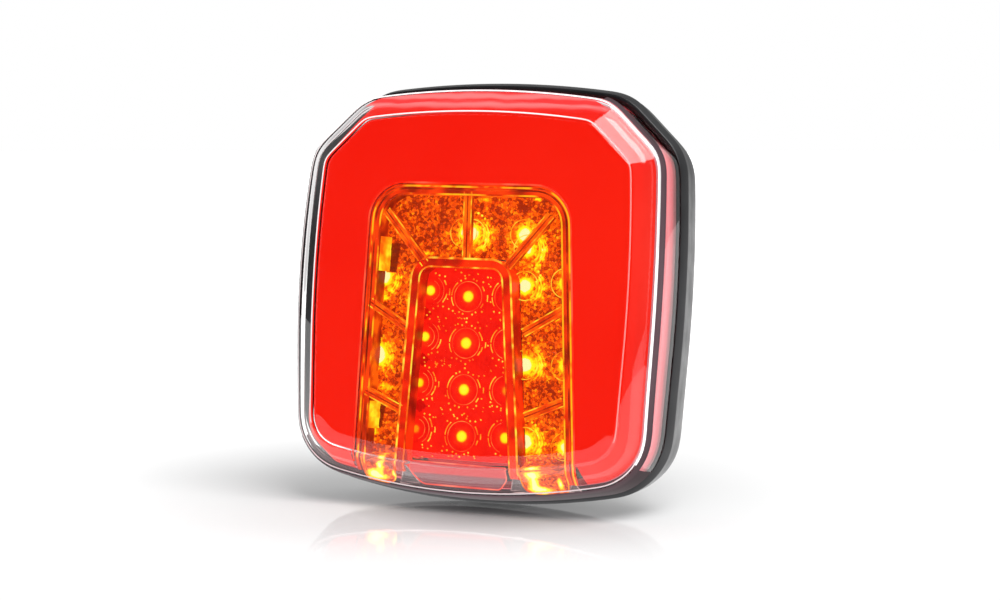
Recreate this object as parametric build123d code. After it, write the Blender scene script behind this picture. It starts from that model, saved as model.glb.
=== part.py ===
from build123d import *
import math
import os

# Square LED rear combination lamp for a trailer: a tail light ring that glows all over the front,
# an amber direction indicator shaped as an arch, and a red brake panel inside the arch.
# Millimetres. +X is the lamp's right seen from the front, +Y points into the vehicle, +Z is up.
# The origin is the middle of the mounting plane, which the back of the rear gasket lies on.

# ---- driving dimensions -------------------------------------------------------------------
HALF_WIDTH = 46.2            # half width of the lens at its rim
HALF_HEIGHT = 48.1           # half height of the lens at its rim
SIDE_BOW = 1.3               # how far each side bulges at its middle
TOP_BOW = 2.2
BOTTOM_BOW = 3.4
TOP_CUT = (13.1, 12.6)       # width and height of the top corner cuts
BOTTOM_CUT = (11.3, 15.4)    # width and height of the bottom corner cuts
BOTTOM_CUT_BOW = 4.0         # bulge of the bottom corner cuts
CORNER_RADIUS = 10.0         # blend where a side meets a corner cut

FRONT_Y = -29.1              # flat front of the lens
RIM_Y = -25.5                # edge between the lens bevel and its side wall
FLANGE_Y = -15.2             # front face of the housing flange
BACK_Y = -2.5                # back face of the housing
BEVEL = 5.4                  # width of the bevel round the flat front
LENS_WALL = 2.2
HOUSING_WALL = 2.2
FLANGE_STEP = 3.0            # how far the housing flange stands out past the lens rim
SLIP = 0.25                  # clearance between nested mouldings

FLARE = 0.05                 # sideways spread of the inner panels per millimetre of height
ARCH_TOP = 25.2              # top of the amber arch
ARCH_HALF = 25.2             # its half width at the top
ARCH_RADIUS = 9.0
BRAKE_TOP = 7.1              # top of the frame round the red brake panel
BRAKE_HALF = 12.9
BRAKE_RADIUS = 5.0
PANEL_FOOT = 46.6            # how far below the centre the inner panels reach
RIB = 1.4                    # thickness of the walls between the light chambers
FRAME_BAR = 2.1              # width of the bars of the brake panel's frame
BRAKE_SHELF = 1.0            # how far the brake reflector reaches out under the frame

BOARD_BACK_Y = -12.6
BOARD_THICK = 1.6
LED_SIZE = (3.5, 1.2, 2.8)   # width, height off the board, length of one light chip
BRAKE_ROW_TOP = -1.5         # height of the upper row of brake lights
BRAKE_PITCH = 11.1           # from one row of them to the next
BRAKE_COLUMN = 9.7           # from the middle column to the outer ones, at the upper row
SIDE_ROWS = (2.0, -17.0, -35.5)
SIDE_COLUMN = 20.0           # from the middle to the lights in the arch's legs
TOP_LIGHTS = [(0.0, 14.6), (14.6, 12.4), (-14.6, 12.4)]
TAIL_ROW = 33.0              # height of the tail lights above the arch
TAIL_ROW_PLACES = (-26.0, -15.6, -5.2, 5.2, 15.6, 26.0)
TAIL_COLUMN = 34.5           # from the middle to the tail lights beside the arch
TAIL_COLUMN_PLACES = (24.0, 12.0, 0.0, -12.0, -24.0, -34.0)
LED_DISH = (1.2, 0.8, 0.5)   # mouth radius, floor radius and depth of the chip's dish
INDICATOR_MOUTH = 4.5        # front radius of the cups over the amber lights
BRAKE_MOUTH = 3.5
THROAT = 2.4                 # radius of every cup at the board
STUD_SPACING = 45.0
STUD_DIAMETER = 5.0
STUD_LENGTH = 20.0           # stud length behind the mounting plane
STUD_COLLAR = 6.0            # diameter of the stud inside the housing and gasket
CABLE_DIAMETER = 5.4
STUD_HEAD = 9.0              # diameter of the stud's head, moulded into the housing
STUD_HEAD_THICK = 2.5
SCREW_RADIUS = 1.25
GROMMET_DROP = 18.0          # how far the cable outlet is below the centre
GROMMET_NECK = 4.6           # radius where the grommet passes through the housing floor
GROMMET_HEAD = 6.2
GROMMET_TAIL = 4.2
GROMMET_END = 7.0            # how far the grommet stands out behind the mounting plane

# ---- places worked out from them ----------------------------------------------------------
BOARD_FRONT_Y = BOARD_BACK_Y - BOARD_THICK
LENS_INSIDE_Y = FRONT_Y + LENS_WALL
LENS_FOOT_Y = FLANGE_Y + 1.5
SEAL_BACK_Y = LENS_FOOT_Y + 1.0
FLOOR_Y = BACK_Y - HOUSING_WALL
STUD_HEAD_Y = FLOOR_Y - 0.6  # back face of the stud head
PANEL_Y = LENS_INSIDE_Y + SLIP
PANEL_THICK = 1.2
PANEL_BACK_Y = PANEL_Y + PANEL_THICK
REFLECTOR_Y = -21.0
REFLECTOR_BACK_Y = BOARD_FRONT_Y - 0.1
DIVIDER_BACK_Y = REFLECTOR_Y - 0.7
LAMP_FOOT = -60.0            # a height safely below the whole lamp, for open-ended cuts


# ---- outlines -----------------------------------------------------------------------------
def bowed(start, end, bow):
    """An edge from start to end that bulges away from the lamp's centre by bow."""
    middle = (Vector(*start) + Vector(*end)) / 2
    run = Vector(*end) - Vector(*start)
    outward = Vector(run.Y, -run.X).normalized()
    if outward.dot(middle) < 0:
        outward = outward * -1
    return ThreePointArc(start, middle + outward * bow, end)


def lamp_outline(grow=0.0):
    """The lamp's front outline: four bowed sides, cut corners, everything blended."""
    side = HALF_WIDTH - SIDE_BOW
    top = HALF_HEIGHT - TOP_BOW
    bottom = BOTTOM_BOW - HALF_HEIGHT
    top_side = (side, top - TOP_CUT[1])
    top_end = (side - TOP_CUT[0], top)
    low_end = (side - BOTTOM_CUT[0], bottom)
    low_side = (side, bottom + BOTTOM_CUT[1])
    corners = [low_side, top_side, top_end]
    corners += [(-x, z) for x, z in (top_end, top_side, low_side, low_end)]
    corners += [low_end]
    bows = [SIDE_BOW, 0, TOP_BOW, 0, SIDE_BOW, BOTTOM_CUT_BOW, BOTTOM_BOW, BOTTOM_CUT_BOW]
    edges = []
    for index, bow in enumerate(bows):
        start = corners[index]
        end = corners[(index + 1) % len(corners)]
        edges.append(bowed(start, end, bow) if bow else Line(start, end))
    shape = make_face(Wire(edges))
    shape = fillet(shape.vertices(), CORNER_RADIUS)
    return offset(shape, grow) if grow else shape


def arch(top, half, radius, grow=0.0, foot=LAMP_FOOT):
    """A panel outline with a rounded top, which spreads out downwards to an open foot."""
    spread = half + FLARE * (top - foot)
    points = [(-spread, foot), (-half, top), (half, top), (spread, foot)]
    shape = make_face(Polyline(*points, close=True))
    upper = shape.vertices().group_by(Axis.Y)[-1]
    shape = fillet(upper, radius)
    return offset(shape, grow) if grow else shape


def amber_outline(grow=0.0):
    return arch(ARCH_TOP, ARCH_HALF, ARCH_RADIUS, grow)


def brake_outline(grow=0.0):
    return arch(BRAKE_TOP, BRAKE_HALF, BRAKE_RADIUS, grow)


# ---- solids from outlines -----------------------------------------------------------------
def prism(shape, front, back):
    """A solid of one outline between two depths."""
    return extrude(Plane.XZ.offset(-back) * shape, amount=back - front)


def skin(sections):
    """A solid through lamp outlines, given as (depth, grow) pairs from front to back."""
    faces = [Plane.XZ.offset(-depth) * lamp_outline(grow) for depth, grow in sections]
    return loft(faces, ruled=True)


def rod(x, z, radius, front, back):
    return prism(Pos(x, z) * Circle(radius), front, back)


def block(x, z, size, front):
    """A chip of (width, depth, height) whose front face is at one depth."""
    width, depth, height = size
    return Pos(x, front + depth / 2, z) * Box(width, depth, height)


def below(height):
    """A half space under a height, for cutting panels off level."""
    return Pos(0, 0, height - 50) * Box(200, 200, 100)


# ---- places of the lights -----------------------------------------------------------------
def brake_places():
    places = []
    for row in [BRAKE_ROW_TOP - BRAKE_PITCH * index for index in range(4)]:
        column = BRAKE_COLUMN + FLARE * (BRAKE_ROW_TOP - row)
        places += [(-column, row), (0.0, row), (column, row)]
    return places


def indicator_places():
    places = list(TOP_LIGHTS)
    for row in SIDE_ROWS:
        column = SIDE_COLUMN + FLARE * (SIDE_ROWS[0] - row)
        places += [(-column, row), (column, row)]
    return places


def tail_places():
    """Tail lights: a row above the arch and a column down each side of it."""
    row = [(x, TAIL_ROW) for x in TAIL_ROW_PLACES]
    column = [(side * TAIL_COLUMN, z) for side in (-1, 1) for z in TAIL_COLUMN_PLACES]
    return row + column


# ---- lens and housing ---------------------------------------------------------------------
def make_outer_lens():
    outside = skin([(FRONT_Y, -BEVEL), (RIM_Y, 0), (RIM_Y + 1.1, 0.95), (LENS_FOOT_Y, 1.9)])
    foot = 1.9 - LENS_WALL
    inside = skin([(LENS_INSIDE_Y, -BEVEL - 1.0), (RIM_Y + 1.5, -1.6), (FLANGE_Y - 0.3, foot),
                   (LENS_FOOT_Y, foot)])
    return outside - inside


def make_lens_seal():
    ring = lamp_outline(1.9) - lamp_outline(1.9 - LENS_WALL)
    return prism(ring, LENS_FOOT_Y, SEAL_BACK_Y)


def stud_places():
    return [(-STUD_SPACING / 2, 0.0), (STUD_SPACING / 2, 0.0)]


def screw_places():
    return [(-37.0, 18.0), (37.0, 18.0), (-36.0, -29.0), (36.0, -29.0)]


def make_rear_housing():
    flange = FLANGE_STEP
    body = skin([(FLANGE_Y, flange - 0.7), (FLANGE_Y + 0.7, flange), (FLANGE_Y + 3.0, flange),
                 (BACK_Y - 1.5, flange - 1.0), (BACK_Y, flange - 2.4)])
    body -= prism(lamp_outline(-2.6), FLANGE_Y, FLOOR_Y)
    groove = lamp_outline(2.05) - lamp_outline(-0.45)
    body -= prism(groove, FLANGE_Y, SEAL_BACK_Y)
    for x, z in screw_places():
        body += rod(x, z, 3.2, BOARD_BACK_Y, FLOOR_Y)
        body -= rod(x, z, SCREW_RADIUS, BOARD_BACK_Y, FLOOR_Y - 0.5)
    for x, z in stud_places():
        body += rod(x, z, 6.5, FLOOR_Y - 5.0, FLOOR_Y)
        body -= rod(x, z, STUD_HEAD / 2, STUD_HEAD_Y - STUD_HEAD_THICK, STUD_HEAD_Y)
        body -= rod(x, z, STUD_COLLAR / 2, STUD_HEAD_Y, BACK_Y)
    body -= rod(0, -GROMMET_DROP, GROMMET_NECK, FLOOR_Y, BACK_Y)
    return body


def make_rear_gasket():
    sheet = prism(lamp_outline(-1.8), BACK_Y, 0)
    for x, z in stud_places():
        sheet -= rod(x, z, STUD_COLLAR / 2 + SLIP, BACK_Y, 0)
    return sheet - rod(0, -GROMMET_DROP, GROMMET_HEAD + SLIP, BACK_Y, 0)


def make_mounting_studs():
    """Two headed studs held by the housing, with a collar up to the mounting plane."""
    studs = []
    for x, z in stud_places():
        stud = rod(x, z, STUD_HEAD / 2, STUD_HEAD_Y - STUD_HEAD_THICK, STUD_HEAD_Y)
        stud += rod(x, z, STUD_COLLAR / 2, STUD_HEAD_Y, 0)
        stud += rod(x, z, STUD_DIAMETER / 2, 0, STUD_LENGTH)
        tip = stud.edges().sort_by(Axis.Y)[-1]
        studs.append(chamfer(tip, 0.6))
    return studs


def make_cable_grommet():
    """Rubber cable outlet: a neck, a head and a tapered tail with a blind cable socket."""
    body = rod(0, -GROMMET_DROP, GROMMET_NECK, FLOOR_Y, BACK_Y)
    body += rod(0, -GROMMET_DROP, GROMMET_HEAD, BACK_Y, -0.6)
    tail = [Plane.XZ.offset(-depth) * Pos(0, -GROMMET_DROP) * Circle(radius)
            for depth, radius in ((-0.6, GROMMET_NECK + 0.5), (GROMMET_END, GROMMET_TAIL))]
    body += loft(tail)
    return body - rod(0, -GROMMET_DROP, CABLE_DIAMETER / 2, 0, GROMMET_END)


def make_cable_potting():
    """Resin drop inside the housing that seals the inner end of the cable outlet."""
    rings = [Plane.XZ.offset(-depth) * Pos(0, -GROMMET_DROP) * Circle(radius)
             for depth, radius in ((FLOOR_Y - 1.8, 5.5), (FLOOR_Y, 7.5))]
    return loft(rings)


# ---- circuit board ------------------------------------------------------------------------
def make_circuit_board():
    board = prism(lamp_outline(-3.3), BOARD_FRONT_Y, BOARD_BACK_Y)
    for x, z in screw_places():
        board -= rod(x, z, SCREW_RADIUS + 0.2, BOARD_FRONT_Y, BOARD_BACK_Y)
    return board


def make_board_screws():
    """Pan-head screws with a cross recess, driven into the housing's bosses."""
    screws = []
    head_back = BOARD_FRONT_Y
    for x, z in screw_places():
        screw = rod(x, z, 2.4, head_back - 1.6, head_back)
        screw += rod(x, z, SCREW_RADIUS, head_back, FLOOR_Y - 0.7)
        for turn in (0, 90):
            slot = Pos(x, head_back - 1.3, z) * Rot(0, turn, 0) * Box(3.0, 0.7, 0.6)
            screw -= slot
        screws.append(screw)
    return screws


def led_dish(x, z):
    mouth, floor, deep = LED_DISH
    front = BOARD_FRONT_Y - LED_SIZE[1]
    rings = [Plane.XZ.offset(-depth) * Pos(x, z) * Circle(radius)
             for depth, radius in ((front, mouth), (front + deep, floor))]
    return loft(rings)


def make_leds(places):
    """Surface-mounted light chips with a round dish in the front."""
    chips = []
    for x, z in places:
        chip = block(x, z, LED_SIZE, BOARD_FRONT_Y - LED_SIZE[1])
        chips.append(chip - led_dish(x, z))
    return chips


def make_led_domes(places):
    """The clear resin drop that fills each chip's dish, over the light source."""
    return [led_dish(x, z) for x, z in places]


def make_resistors():
    """Chip resistors in two rows on the back of the board."""
    size = (3.2, 0.6, 1.6)
    rows = [(x, z) for z in (30.0, -33.0) for x in (-15.0, -9.0, -3.0, 3.0, 9.0, 15.0)]
    return [block(x, z, size, BOARD_BACK_Y) for x, z in rows]


def make_driver_chips():
    """Three current regulators, one for each light function, with their tabs."""
    chips = []
    for x in (-14.0, 0.0, 14.0):
        body = block(x, 18.0, (6.6, 2.3, 6.1), BOARD_BACK_Y)
        body += block(x, 22.3, (5.2, 0.6, 2.5), BOARD_BACK_Y)
        for leg in (-2.3, 0.0, 2.3):
            body += block(x + leg, 14.0, (0.8, 0.6, 2.0), BOARD_BACK_Y)
        chips.append(body)
    return chips


def make_diodes():
    """Polarity protection diodes beside the wire pads."""
    diodes = []
    for x in (-12.0, 12.0):
        body = block(x, -14.0, (4.3, 2.2, 3.6), BOARD_BACK_Y)
        body += block(x, -14.0, (5.4, 0.4, 1.6), BOARD_BACK_Y)
        diodes.append(body)
    return diodes


def make_capacitors():
    """Surge capacitors: a square base with a round can on it."""
    cans = []
    for x in (-24.0, 24.0):
        can = block(x, -14.0, (6.6, 0.8, 6.6), BOARD_BACK_Y)
        can += rod(x, -14.0, 3.15, BOARD_BACK_Y + 0.8, BOARD_BACK_Y + 5.6)
        cans.append(can)
    return cans


def make_wire_pads():
    """Solder joints of the four conductors, in line beside the cable outlet."""
    pads = []
    for x in (-4.5, -1.5, 1.5, 4.5):
        pad = Plane.XZ.offset(-BOARD_BACK_Y) * Pos(x, -27.0) * Circle(1.1)
        tip = Plane.XZ.offset(-BOARD_BACK_Y - 1.0) * Pos(x, -27.0) * Circle(0.5)
        pads.append(loft([pad, tip]))
    return pads


# ---- light guides, reflectors and inner panels -------------------------------------------
def make_tail_diffuser():
    """Red shell behind the whole front and side of the lens, open round the arch."""
    outside = skin([(PANEL_Y, -BEVEL - 1.2), (RIM_Y + 1.7, -1.9), (FLANGE_Y, -0.65)])
    inside = skin([(PANEL_Y + 1.6, -BEVEL - 1.9), (RIM_Y + 2.6, -3.6), (FLANGE_Y, -2.3)])
    shell = outside - inside
    shell -= prism(amber_outline(0.0), FRONT_Y, FLANGE_Y)
    band = amber_outline(1.5) - amber_outline(0.0)
    lip = prism(band, PANEL_Y + 1.0, REFLECTOR_Y)
    return shell + (lip & inside)


def make_tail_light_guide():
    """Clear plate that spreads the tail light behind the red shell."""
    plate = prism(lamp_outline(-5.0) - amber_outline(2.2), REFLECTOR_Y, REFLECTOR_Y + 3.0)
    for x, z in tail_places():
        plate -= rod(x, z, 2.0, REFLECTOR_Y + 1.6, REFLECTOR_Y + 3.0)
    return plate


def make_tail_reflector():
    """White tray under the light guide with a round well over each tail light."""
    tray = prism(lamp_outline(-5.0) - amber_outline(2.2), REFLECTOR_Y + 3.2, REFLECTOR_BACK_Y)
    for x, z in tail_places():
        well = [Plane.XZ.offset(-depth) * Pos(x, z) * Circle(radius)
                for depth, radius in ((REFLECTOR_Y + 3.2, 3.4), (REFLECTOR_BACK_Y, 2.4))]
        tray -= loft(well)
    for x, z in screw_places():
        tray -= rod(x, z, 2.8, REFLECTOR_Y + 3.2, REFLECTOR_BACK_Y)
    return tray


def cups(places, mouth, throat):
    """Round cups over the lights, wide at the front and narrow at the board."""
    made = []
    for x, z in places:
        rings = [Plane.XZ.offset(-depth) * Pos(x, z) * Circle(radius)
                 for depth, radius in ((REFLECTOR_Y, mouth), (REFLECTOR_BACK_Y, throat))]
        made.append(loft(rings))
    return made


def amber_zone(inner_gap):
    """The arch between the tail ring and the brake panel, cut level with the lens front."""
    zone = amber_outline(-SLIP) - brake_outline(inner_gap)
    return zone & lamp_outline(-BEVEL - 0.5)


def make_indicator_reflector():
    """Mirrored arch with one cup for each amber light."""
    body = prism(amber_zone(BRAKE_SHELF + SLIP), REFLECTOR_Y, REFLECTOR_BACK_Y)
    for cup in cups(indicator_places(), INDICATOR_MOUTH, THROAT):
        body -= cup
    return body


def make_brake_reflector():
    """Mirrored plate with one cup for each red light, a little wider than the frame on it."""
    body = prism(brake_outline(BRAKE_SHELF) & lamp_outline(-BEVEL - 0.5), REFLECTOR_Y, REFLECTOR_BACK_Y)
    for cup in cups(brake_places(), BRAKE_MOUTH, THROAT):
        body -= cup
    return body


def make_collimators(places, mouth):
    """Clear moulded lenses that sit in the cups and gather each light forwards."""
    lenses = []
    for x, z in places:
        rings = [Plane.XZ.offset(-depth) * Pos(x, z) * Circle(radius)
                 for depth, radius in ((REFLECTOR_Y - 0.6, mouth - 0.1), (REFLECTOR_Y, mouth - 0.1))]
        lens = loft(rings)
        stem = [Plane.XZ.offset(-depth) * Pos(x, z) * Circle(radius)
                for depth, radius in ((REFLECTOR_Y, mouth - 0.3), (BOARD_FRONT_Y - 1.4, 1.7))]
        lenses.append(lens + loft(stem))
    return lenses


def slanted_panel(shape, thick):
    """A panel that is flat behind the lens front and follows the bevel down at its foot."""
    hull = skin([(PANEL_Y, -BEVEL - 1.2), (RIM_Y + 1.7, -1.9), (RIM_Y + 4.0, -1.9)])
    core = skin([(PANEL_Y + thick, -BEVEL - 1.7), (RIM_Y + 1.7 + thick, -2.9), (RIM_Y + 4.0, -2.9)])
    panel = (hull - core) & prism(shape, FRONT_Y, REFLECTOR_Y - 0.8)
    return panel - below(-PANEL_FOOT)


def make_indicator_lens():
    """Amber inner lens: the arch with its two legs."""
    return slanted_panel(amber_outline(-SLIP) - brake_outline(SLIP), PANEL_THICK)


def make_brake_lens():
    return slanted_panel(brake_outline(-FRAME_BAR - SLIP), PANEL_THICK)


def rib_line(start, end):
    """A straight rib outline between two points."""
    run = Vector(*end) - Vector(*start)
    middle = (Vector(*start) + Vector(*end)) / 2
    angle = math.degrees(math.atan2(run.Y, run.X))
    return Pos(middle.X, middle.Y) * Rot(0, 0, angle) * Rectangle(run.length, RIB)


# Each wall between two chambers, from inside the brake frame to beyond the arch's edge. The slanted
# ones are there on both sides.
RIB_LINES = [((0, 5), (0, 27)), ((9.5, 4), (25.5, 23)), ((14, -10.3), (29, -2)), ((14, -30.2), (30, -23.6))]


def make_indicator_dividers():
    """Amber walls between the chambers of the arch: one upright, two slanted, four at the sides."""
    zone = amber_zone(SLIP)
    walls = []
    for start, end in RIB_LINES:
        for side in ((1,) if start[0] == 0 else (1, -1)):
            line = rib_line((side * start[0], start[1]), (side * end[0], end[1]))
            walls.append(prism(line & zone, PANEL_BACK_Y + 0.1, DIVIDER_BACK_Y))
    return walls


def make_brake_frame():
    """Red raised frame round the brake panel, which keeps the two colours apart."""
    band = brake_outline(0.0) - brake_outline(-FRAME_BAR)
    return prism(band & lamp_outline(-BEVEL - 0.5), PANEL_Y, DIVIDER_BACK_Y)


def make_inner_bezel():
    """Dark carrier strip across the foot of the panels, which shows between their legs."""
    hull = skin([(PANEL_Y + 1.6, -BEVEL - 1.9), (RIM_Y + 3.0, -3.1), (RIM_Y + 4.4, -3.1)])
    core = skin([(PANEL_Y + 2.8, -BEVEL - 2.6), (RIM_Y + 3.4, -4.1), (RIM_Y + 4.4, -4.1)])
    strip = (hull - core) & prism(amber_outline(-SLIP), FRONT_Y, REFLECTOR_Y - 0.2)
    return strip & below(-43.4)


# ---- build and write ----------------------------------------------------------------------
def make_parts():
    return {
        "outer_lens": make_outer_lens(),
        "lens_seal": make_lens_seal(),
        "rear_housing": make_rear_housing(),
        "rear_gasket": make_rear_gasket(),
        "mounting_studs": make_mounting_studs(),
        "cable_grommet": make_cable_grommet(),
        "cable_potting": make_cable_potting(),
        "circuit_board": make_circuit_board(),
        "board_screws": make_board_screws(),
        "brake_leds": make_leds(brake_places()),
        "indicator_leds": make_leds(indicator_places()),
        "tail_leds": make_leds(tail_places()),
        "led_resin_drops": make_led_domes(brake_places() + indicator_places() + tail_places()),
        "resistors": make_resistors(),
        "driver_chips": make_driver_chips(),
        "protection_diodes": make_diodes(),
        "surge_capacitors": make_capacitors(),
        "wire_pads": make_wire_pads(),
        "tail_diffuser": make_tail_diffuser(),
        "tail_light_guide": make_tail_light_guide(),
        "tail_reflector": make_tail_reflector(),
        "indicator_lens": make_indicator_lens(),
        "indicator_dividers": make_indicator_dividers(),
        "indicator_reflector": make_indicator_reflector(),
        "indicator_collimators": make_collimators(indicator_places(), INDICATOR_MOUTH),
        "brake_lens": make_brake_lens(),
        "brake_frame": make_brake_frame(),
        "brake_reflector": make_brake_reflector(),
        "brake_collimators": make_collimators(brake_places(), BRAKE_MOUTH),
        "inner_bezel": make_inner_bezel(),
    }


os.makedirs("parts", exist_ok=True)
for name, shape in make_parts().items():
    solids = shape if isinstance(shape, list) else shape.solids()
    whole = solids[0] if len(solids) == 1 else Compound(children=list(solids))
    export_step(whole, os.path.join("parts", name + ".step"))
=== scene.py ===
import math
import random

import bmesh
import bpy
from mathutils import Matrix, Vector, geometry


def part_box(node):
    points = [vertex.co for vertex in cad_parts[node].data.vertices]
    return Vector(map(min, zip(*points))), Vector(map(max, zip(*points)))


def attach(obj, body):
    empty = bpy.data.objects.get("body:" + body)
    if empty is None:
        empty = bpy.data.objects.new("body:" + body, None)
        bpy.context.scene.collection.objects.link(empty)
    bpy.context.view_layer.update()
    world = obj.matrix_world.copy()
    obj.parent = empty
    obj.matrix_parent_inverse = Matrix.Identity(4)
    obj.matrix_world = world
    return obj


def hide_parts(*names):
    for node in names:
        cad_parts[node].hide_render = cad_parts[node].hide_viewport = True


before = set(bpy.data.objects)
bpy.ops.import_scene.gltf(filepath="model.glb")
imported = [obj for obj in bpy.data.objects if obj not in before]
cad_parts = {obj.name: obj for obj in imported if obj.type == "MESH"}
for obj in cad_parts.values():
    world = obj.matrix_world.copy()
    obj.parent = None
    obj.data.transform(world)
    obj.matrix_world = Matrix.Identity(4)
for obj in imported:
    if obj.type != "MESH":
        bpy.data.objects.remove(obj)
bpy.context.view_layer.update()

# Everything is worked out in millimetres in the frame's own axes and turned into metres
# when a mesh is made. Front is -Y, up is +Z.
MM = 0.001


# ---- sizes that the frame holds
def depths(node):
    """The depths of a CAD node's front and back."""
    return [(corner / MM).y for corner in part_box(node)]


FRONT_Y, FOOT_Y = depths("outer_lens")
FLANGE_Y, BACK_Y = depths("rear_housing")
PANEL_Y = depths("indicator_lens")[0]
REFLECTOR_Y = depths("indicator_reflector")[0]

# ---- sizes of the visual model
LOOP_POINTS = 360             # on every ring round the lamp
SEAL_GROW = 1.9               # the lens seal stands this far outside the lens rim
BEVEL = 5.4                   # width of the bevel
BEVEL_SLOPE = 0.692           # how fast the bevel comes forward
RIM_Y = FRONT_Y + 3.7         # rim at the middle of each side; the corners lie further back
WALL_Y = -20.0                # a depth half way down the side wall
CROWN_X = 2.1                 # how much further back the rim curves across the width
CROWN_Z = 3.1
DOME = 0.7                    # slight dome of the front
LENS_WALL = 1.3
TOP_DROP = 0.65               # the rim's top lies this much lower than the seal would put it
SHELL_EDGE = 5.5              # the red shell's front stops this far inside the rim
TUB_FLOOR = 2.4               # thickness of the housing's back
THREAD_START = 4.0            # where the studs' threads begin
THREAD_PITCH = 1.0
ROW_GAP = 3.0                 # solids further apart than this stand in different rows

# The lit panels stand a little to one side of the lens and lean by a degree or two. Their places
# are given as if they stood upright.
LEAN = 0.031
ARCH_SHIFT = -0.4
RIB_SHIFT = -1.0
PORTAL_SHIFT = -2.3
ARCH = (25.0, 26.3, 9.5, 0.038)       # top, half width there, corner radius, flare
PORTAL = (7.1, 12.9, 5.0, 0.062)
FRAME_WIDTH = 2.7                     # of the border round the amber panel
PORTAL_WIDTH = 2.1                    # of the bars round the brake panel
OPTIC_Y = REFLECTOR_Y - 0.9           # depth at which the lit texture is seen
FLOOR_Z = -46.8                       # foot of the panels, down the bevel
BEND_Z = -42.0                        # where the panels turn down the bevel
BEND_SLOPE = 0.70
BEAD_FOOT = FLOOR_Z + 2.4
PORTAL_FOOT = BEND_Z - 1.6
RIBS = [((0.0, 7.0), (0.0, 23.0)), ((10.7, 5.6), (21.4, 18.0)), ((15.2, -9.8), (25.0, -4.1)),
        ((16.1, -29.4), (25.6, -25.4))]
RIB_HALF = 0.95
RIB_DEPTH = 1.6
FACET = 0.75                          # size of the amber optics' facets
OPTIC_SPACING = 0.34                  # between the points of the lit textures

VIEW_AZIMUTH = math.radians(24.0)
VIEW_TILT = math.radians(1.7)      # the lamp leans back a little more than the camera looks down
VIEW_ROLL = math.radians(3.24)     # the lamp rolls to one side on its bowed underside
VIEW_DISTANCE = 595.3
VIEW_SIDE = Vector((5.4, -2.4))    # how far the camera's axis passes beside the rim's middle
VIEW_LENS = 90.0
FLOOR_ANGLE = math.radians(5.0)    # the camera looks down on the floor by this much
SOFTBOX_AT = (0.36, -0.29, 0.64)   # in metres, like its size
SOFTBOX_SIZE = (0.6, 0.5)
SOFTBOX_POWER = 7.6


def row_heights(node):
    """Heights of the rows that a CAD node's solids stand in, from the highest down."""
    levels = sorted(v.co.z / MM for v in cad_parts[node].data.vertices)
    rows, low = [], levels[0]
    for level, following in zip(levels, levels[1:] + [math.inf]):
        if following - level > ROW_GAP:
            rows.append(round((low + level) / 2, 2))
            low = following
    return rows[::-1]


BRAKE_ROWS_Z = row_heights("brake_leds")


# ---- outlines
def resample(points, count, closed=True):
    """Evenly spaced points round a closed loop, or along an open path from end to end."""
    loop = points + [points[0]] if closed else points
    spans = count if closed else count - 1
    lengths = [0.0]
    for a, b in zip(loop, loop[1:]):
        lengths.append(lengths[-1] + (b - a).length)
    made, segment = [], 0
    for index in range(count):
        target = lengths[-1] * index / spans
        while lengths[segment + 1] < target and segment < len(lengths) - 2:
            segment += 1
        share = (target - lengths[segment]) / (lengths[segment + 1] - lengths[segment])
        made.append(loop[segment].lerp(loop[segment + 1], share))
    return made


def smoothed(points, reach):
    count = len(points)
    made = []
    for index in range(count):
        near = [points[(index + k) % count] for k in range(-reach, reach + 1)]
        made.append(sum(near, Vector((0, 0))) / len(near))
    return made


def outward(loop):
    count = len(loop)
    runs = [(loop[(k + 1) % count] - loop[k - 1]).normalized() for k in range(count)]
    return [Vector((run.y, -run.x)) for run in runs]


def offset(loop, grow):
    """The loop moved outwards along its normals."""
    return [point + normal * grow for point, normal in zip(loop, outward(loop))]


def rim_outline():
    """The lens rim's outline, from the outer edge of the lens seal."""
    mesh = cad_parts["lens_seal"].data
    flat = [Vector((v.co.x, v.co.z)) / MM for v in mesh.vertices]
    hull = [flat[i] for i in geometry.convex_hull_2d(flat)]
    area = sum(a.cross(b) for a, b in zip(hull, hull[1:] + hull[:1]))
    if area < 0:
        hull.reverse()
    loop = smoothed(resample(hull, LOOP_POINTS), 2)
    return [Vector((p.x, p.y - TOP_DROP * smooth_step(p.y, 10, 40))) for p in offset(loop, -SEAL_GROW)]


def smooth_step(value, low, high):
    share = min(1.0, max(0.0, (value - low) / (high - low)))
    return share * share * (3 - 2 * share)


RIM = rim_outline()
HALF_X = max(p.x for p in RIM)
HALF_Z = max(p.y for p in RIM)
NORMALS = outward(RIM)


def crown(x, z):
    """How far the rim lies behind the middle of the sides at this place."""
    return CROWN_X * (x / HALF_X) ** 2 + CROWN_Z * (z / HALF_Z) ** 2 - CROWN_X


def dome(x, z):
    return DOME * ((x / HALF_X) ** 2 + (z / HALF_Z) ** 2) / 2


# ---- mesh helpers
def finish_mesh(name, verts, faces, smooth=True):
    mesh = bpy.data.meshes.new(name)
    mesh.from_pydata([tuple(c * MM for c in v) for v in verts], [], faces)
    mesh.update()
    bm = bmesh.new()
    bm.from_mesh(mesh)
    bmesh.ops.recalc_face_normals(bm, faces=bm.faces)
    bm.to_mesh(mesh)
    bm.free()
    for poly in mesh.polygons:
        poly.use_smooth = smooth
    piece = bpy.data.objects.new(name, mesh)
    bpy.context.scene.collection.objects.link(piece)
    return piece


def quads(loops, count, wrap=False, closed=True, start=0):
    """Faces between neighbouring loops; wrap joins the last loop to the first one."""
    faces = []
    for ring in range(loops if wrap else loops - 1):
        a, b = start + ring * count, start + (ring + 1) % loops * count
        for k in range(count if closed else count - 1):
            n = (k + 1) % count
            faces.append((a + k, a + n, b + n, b + k))
    return faces


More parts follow.
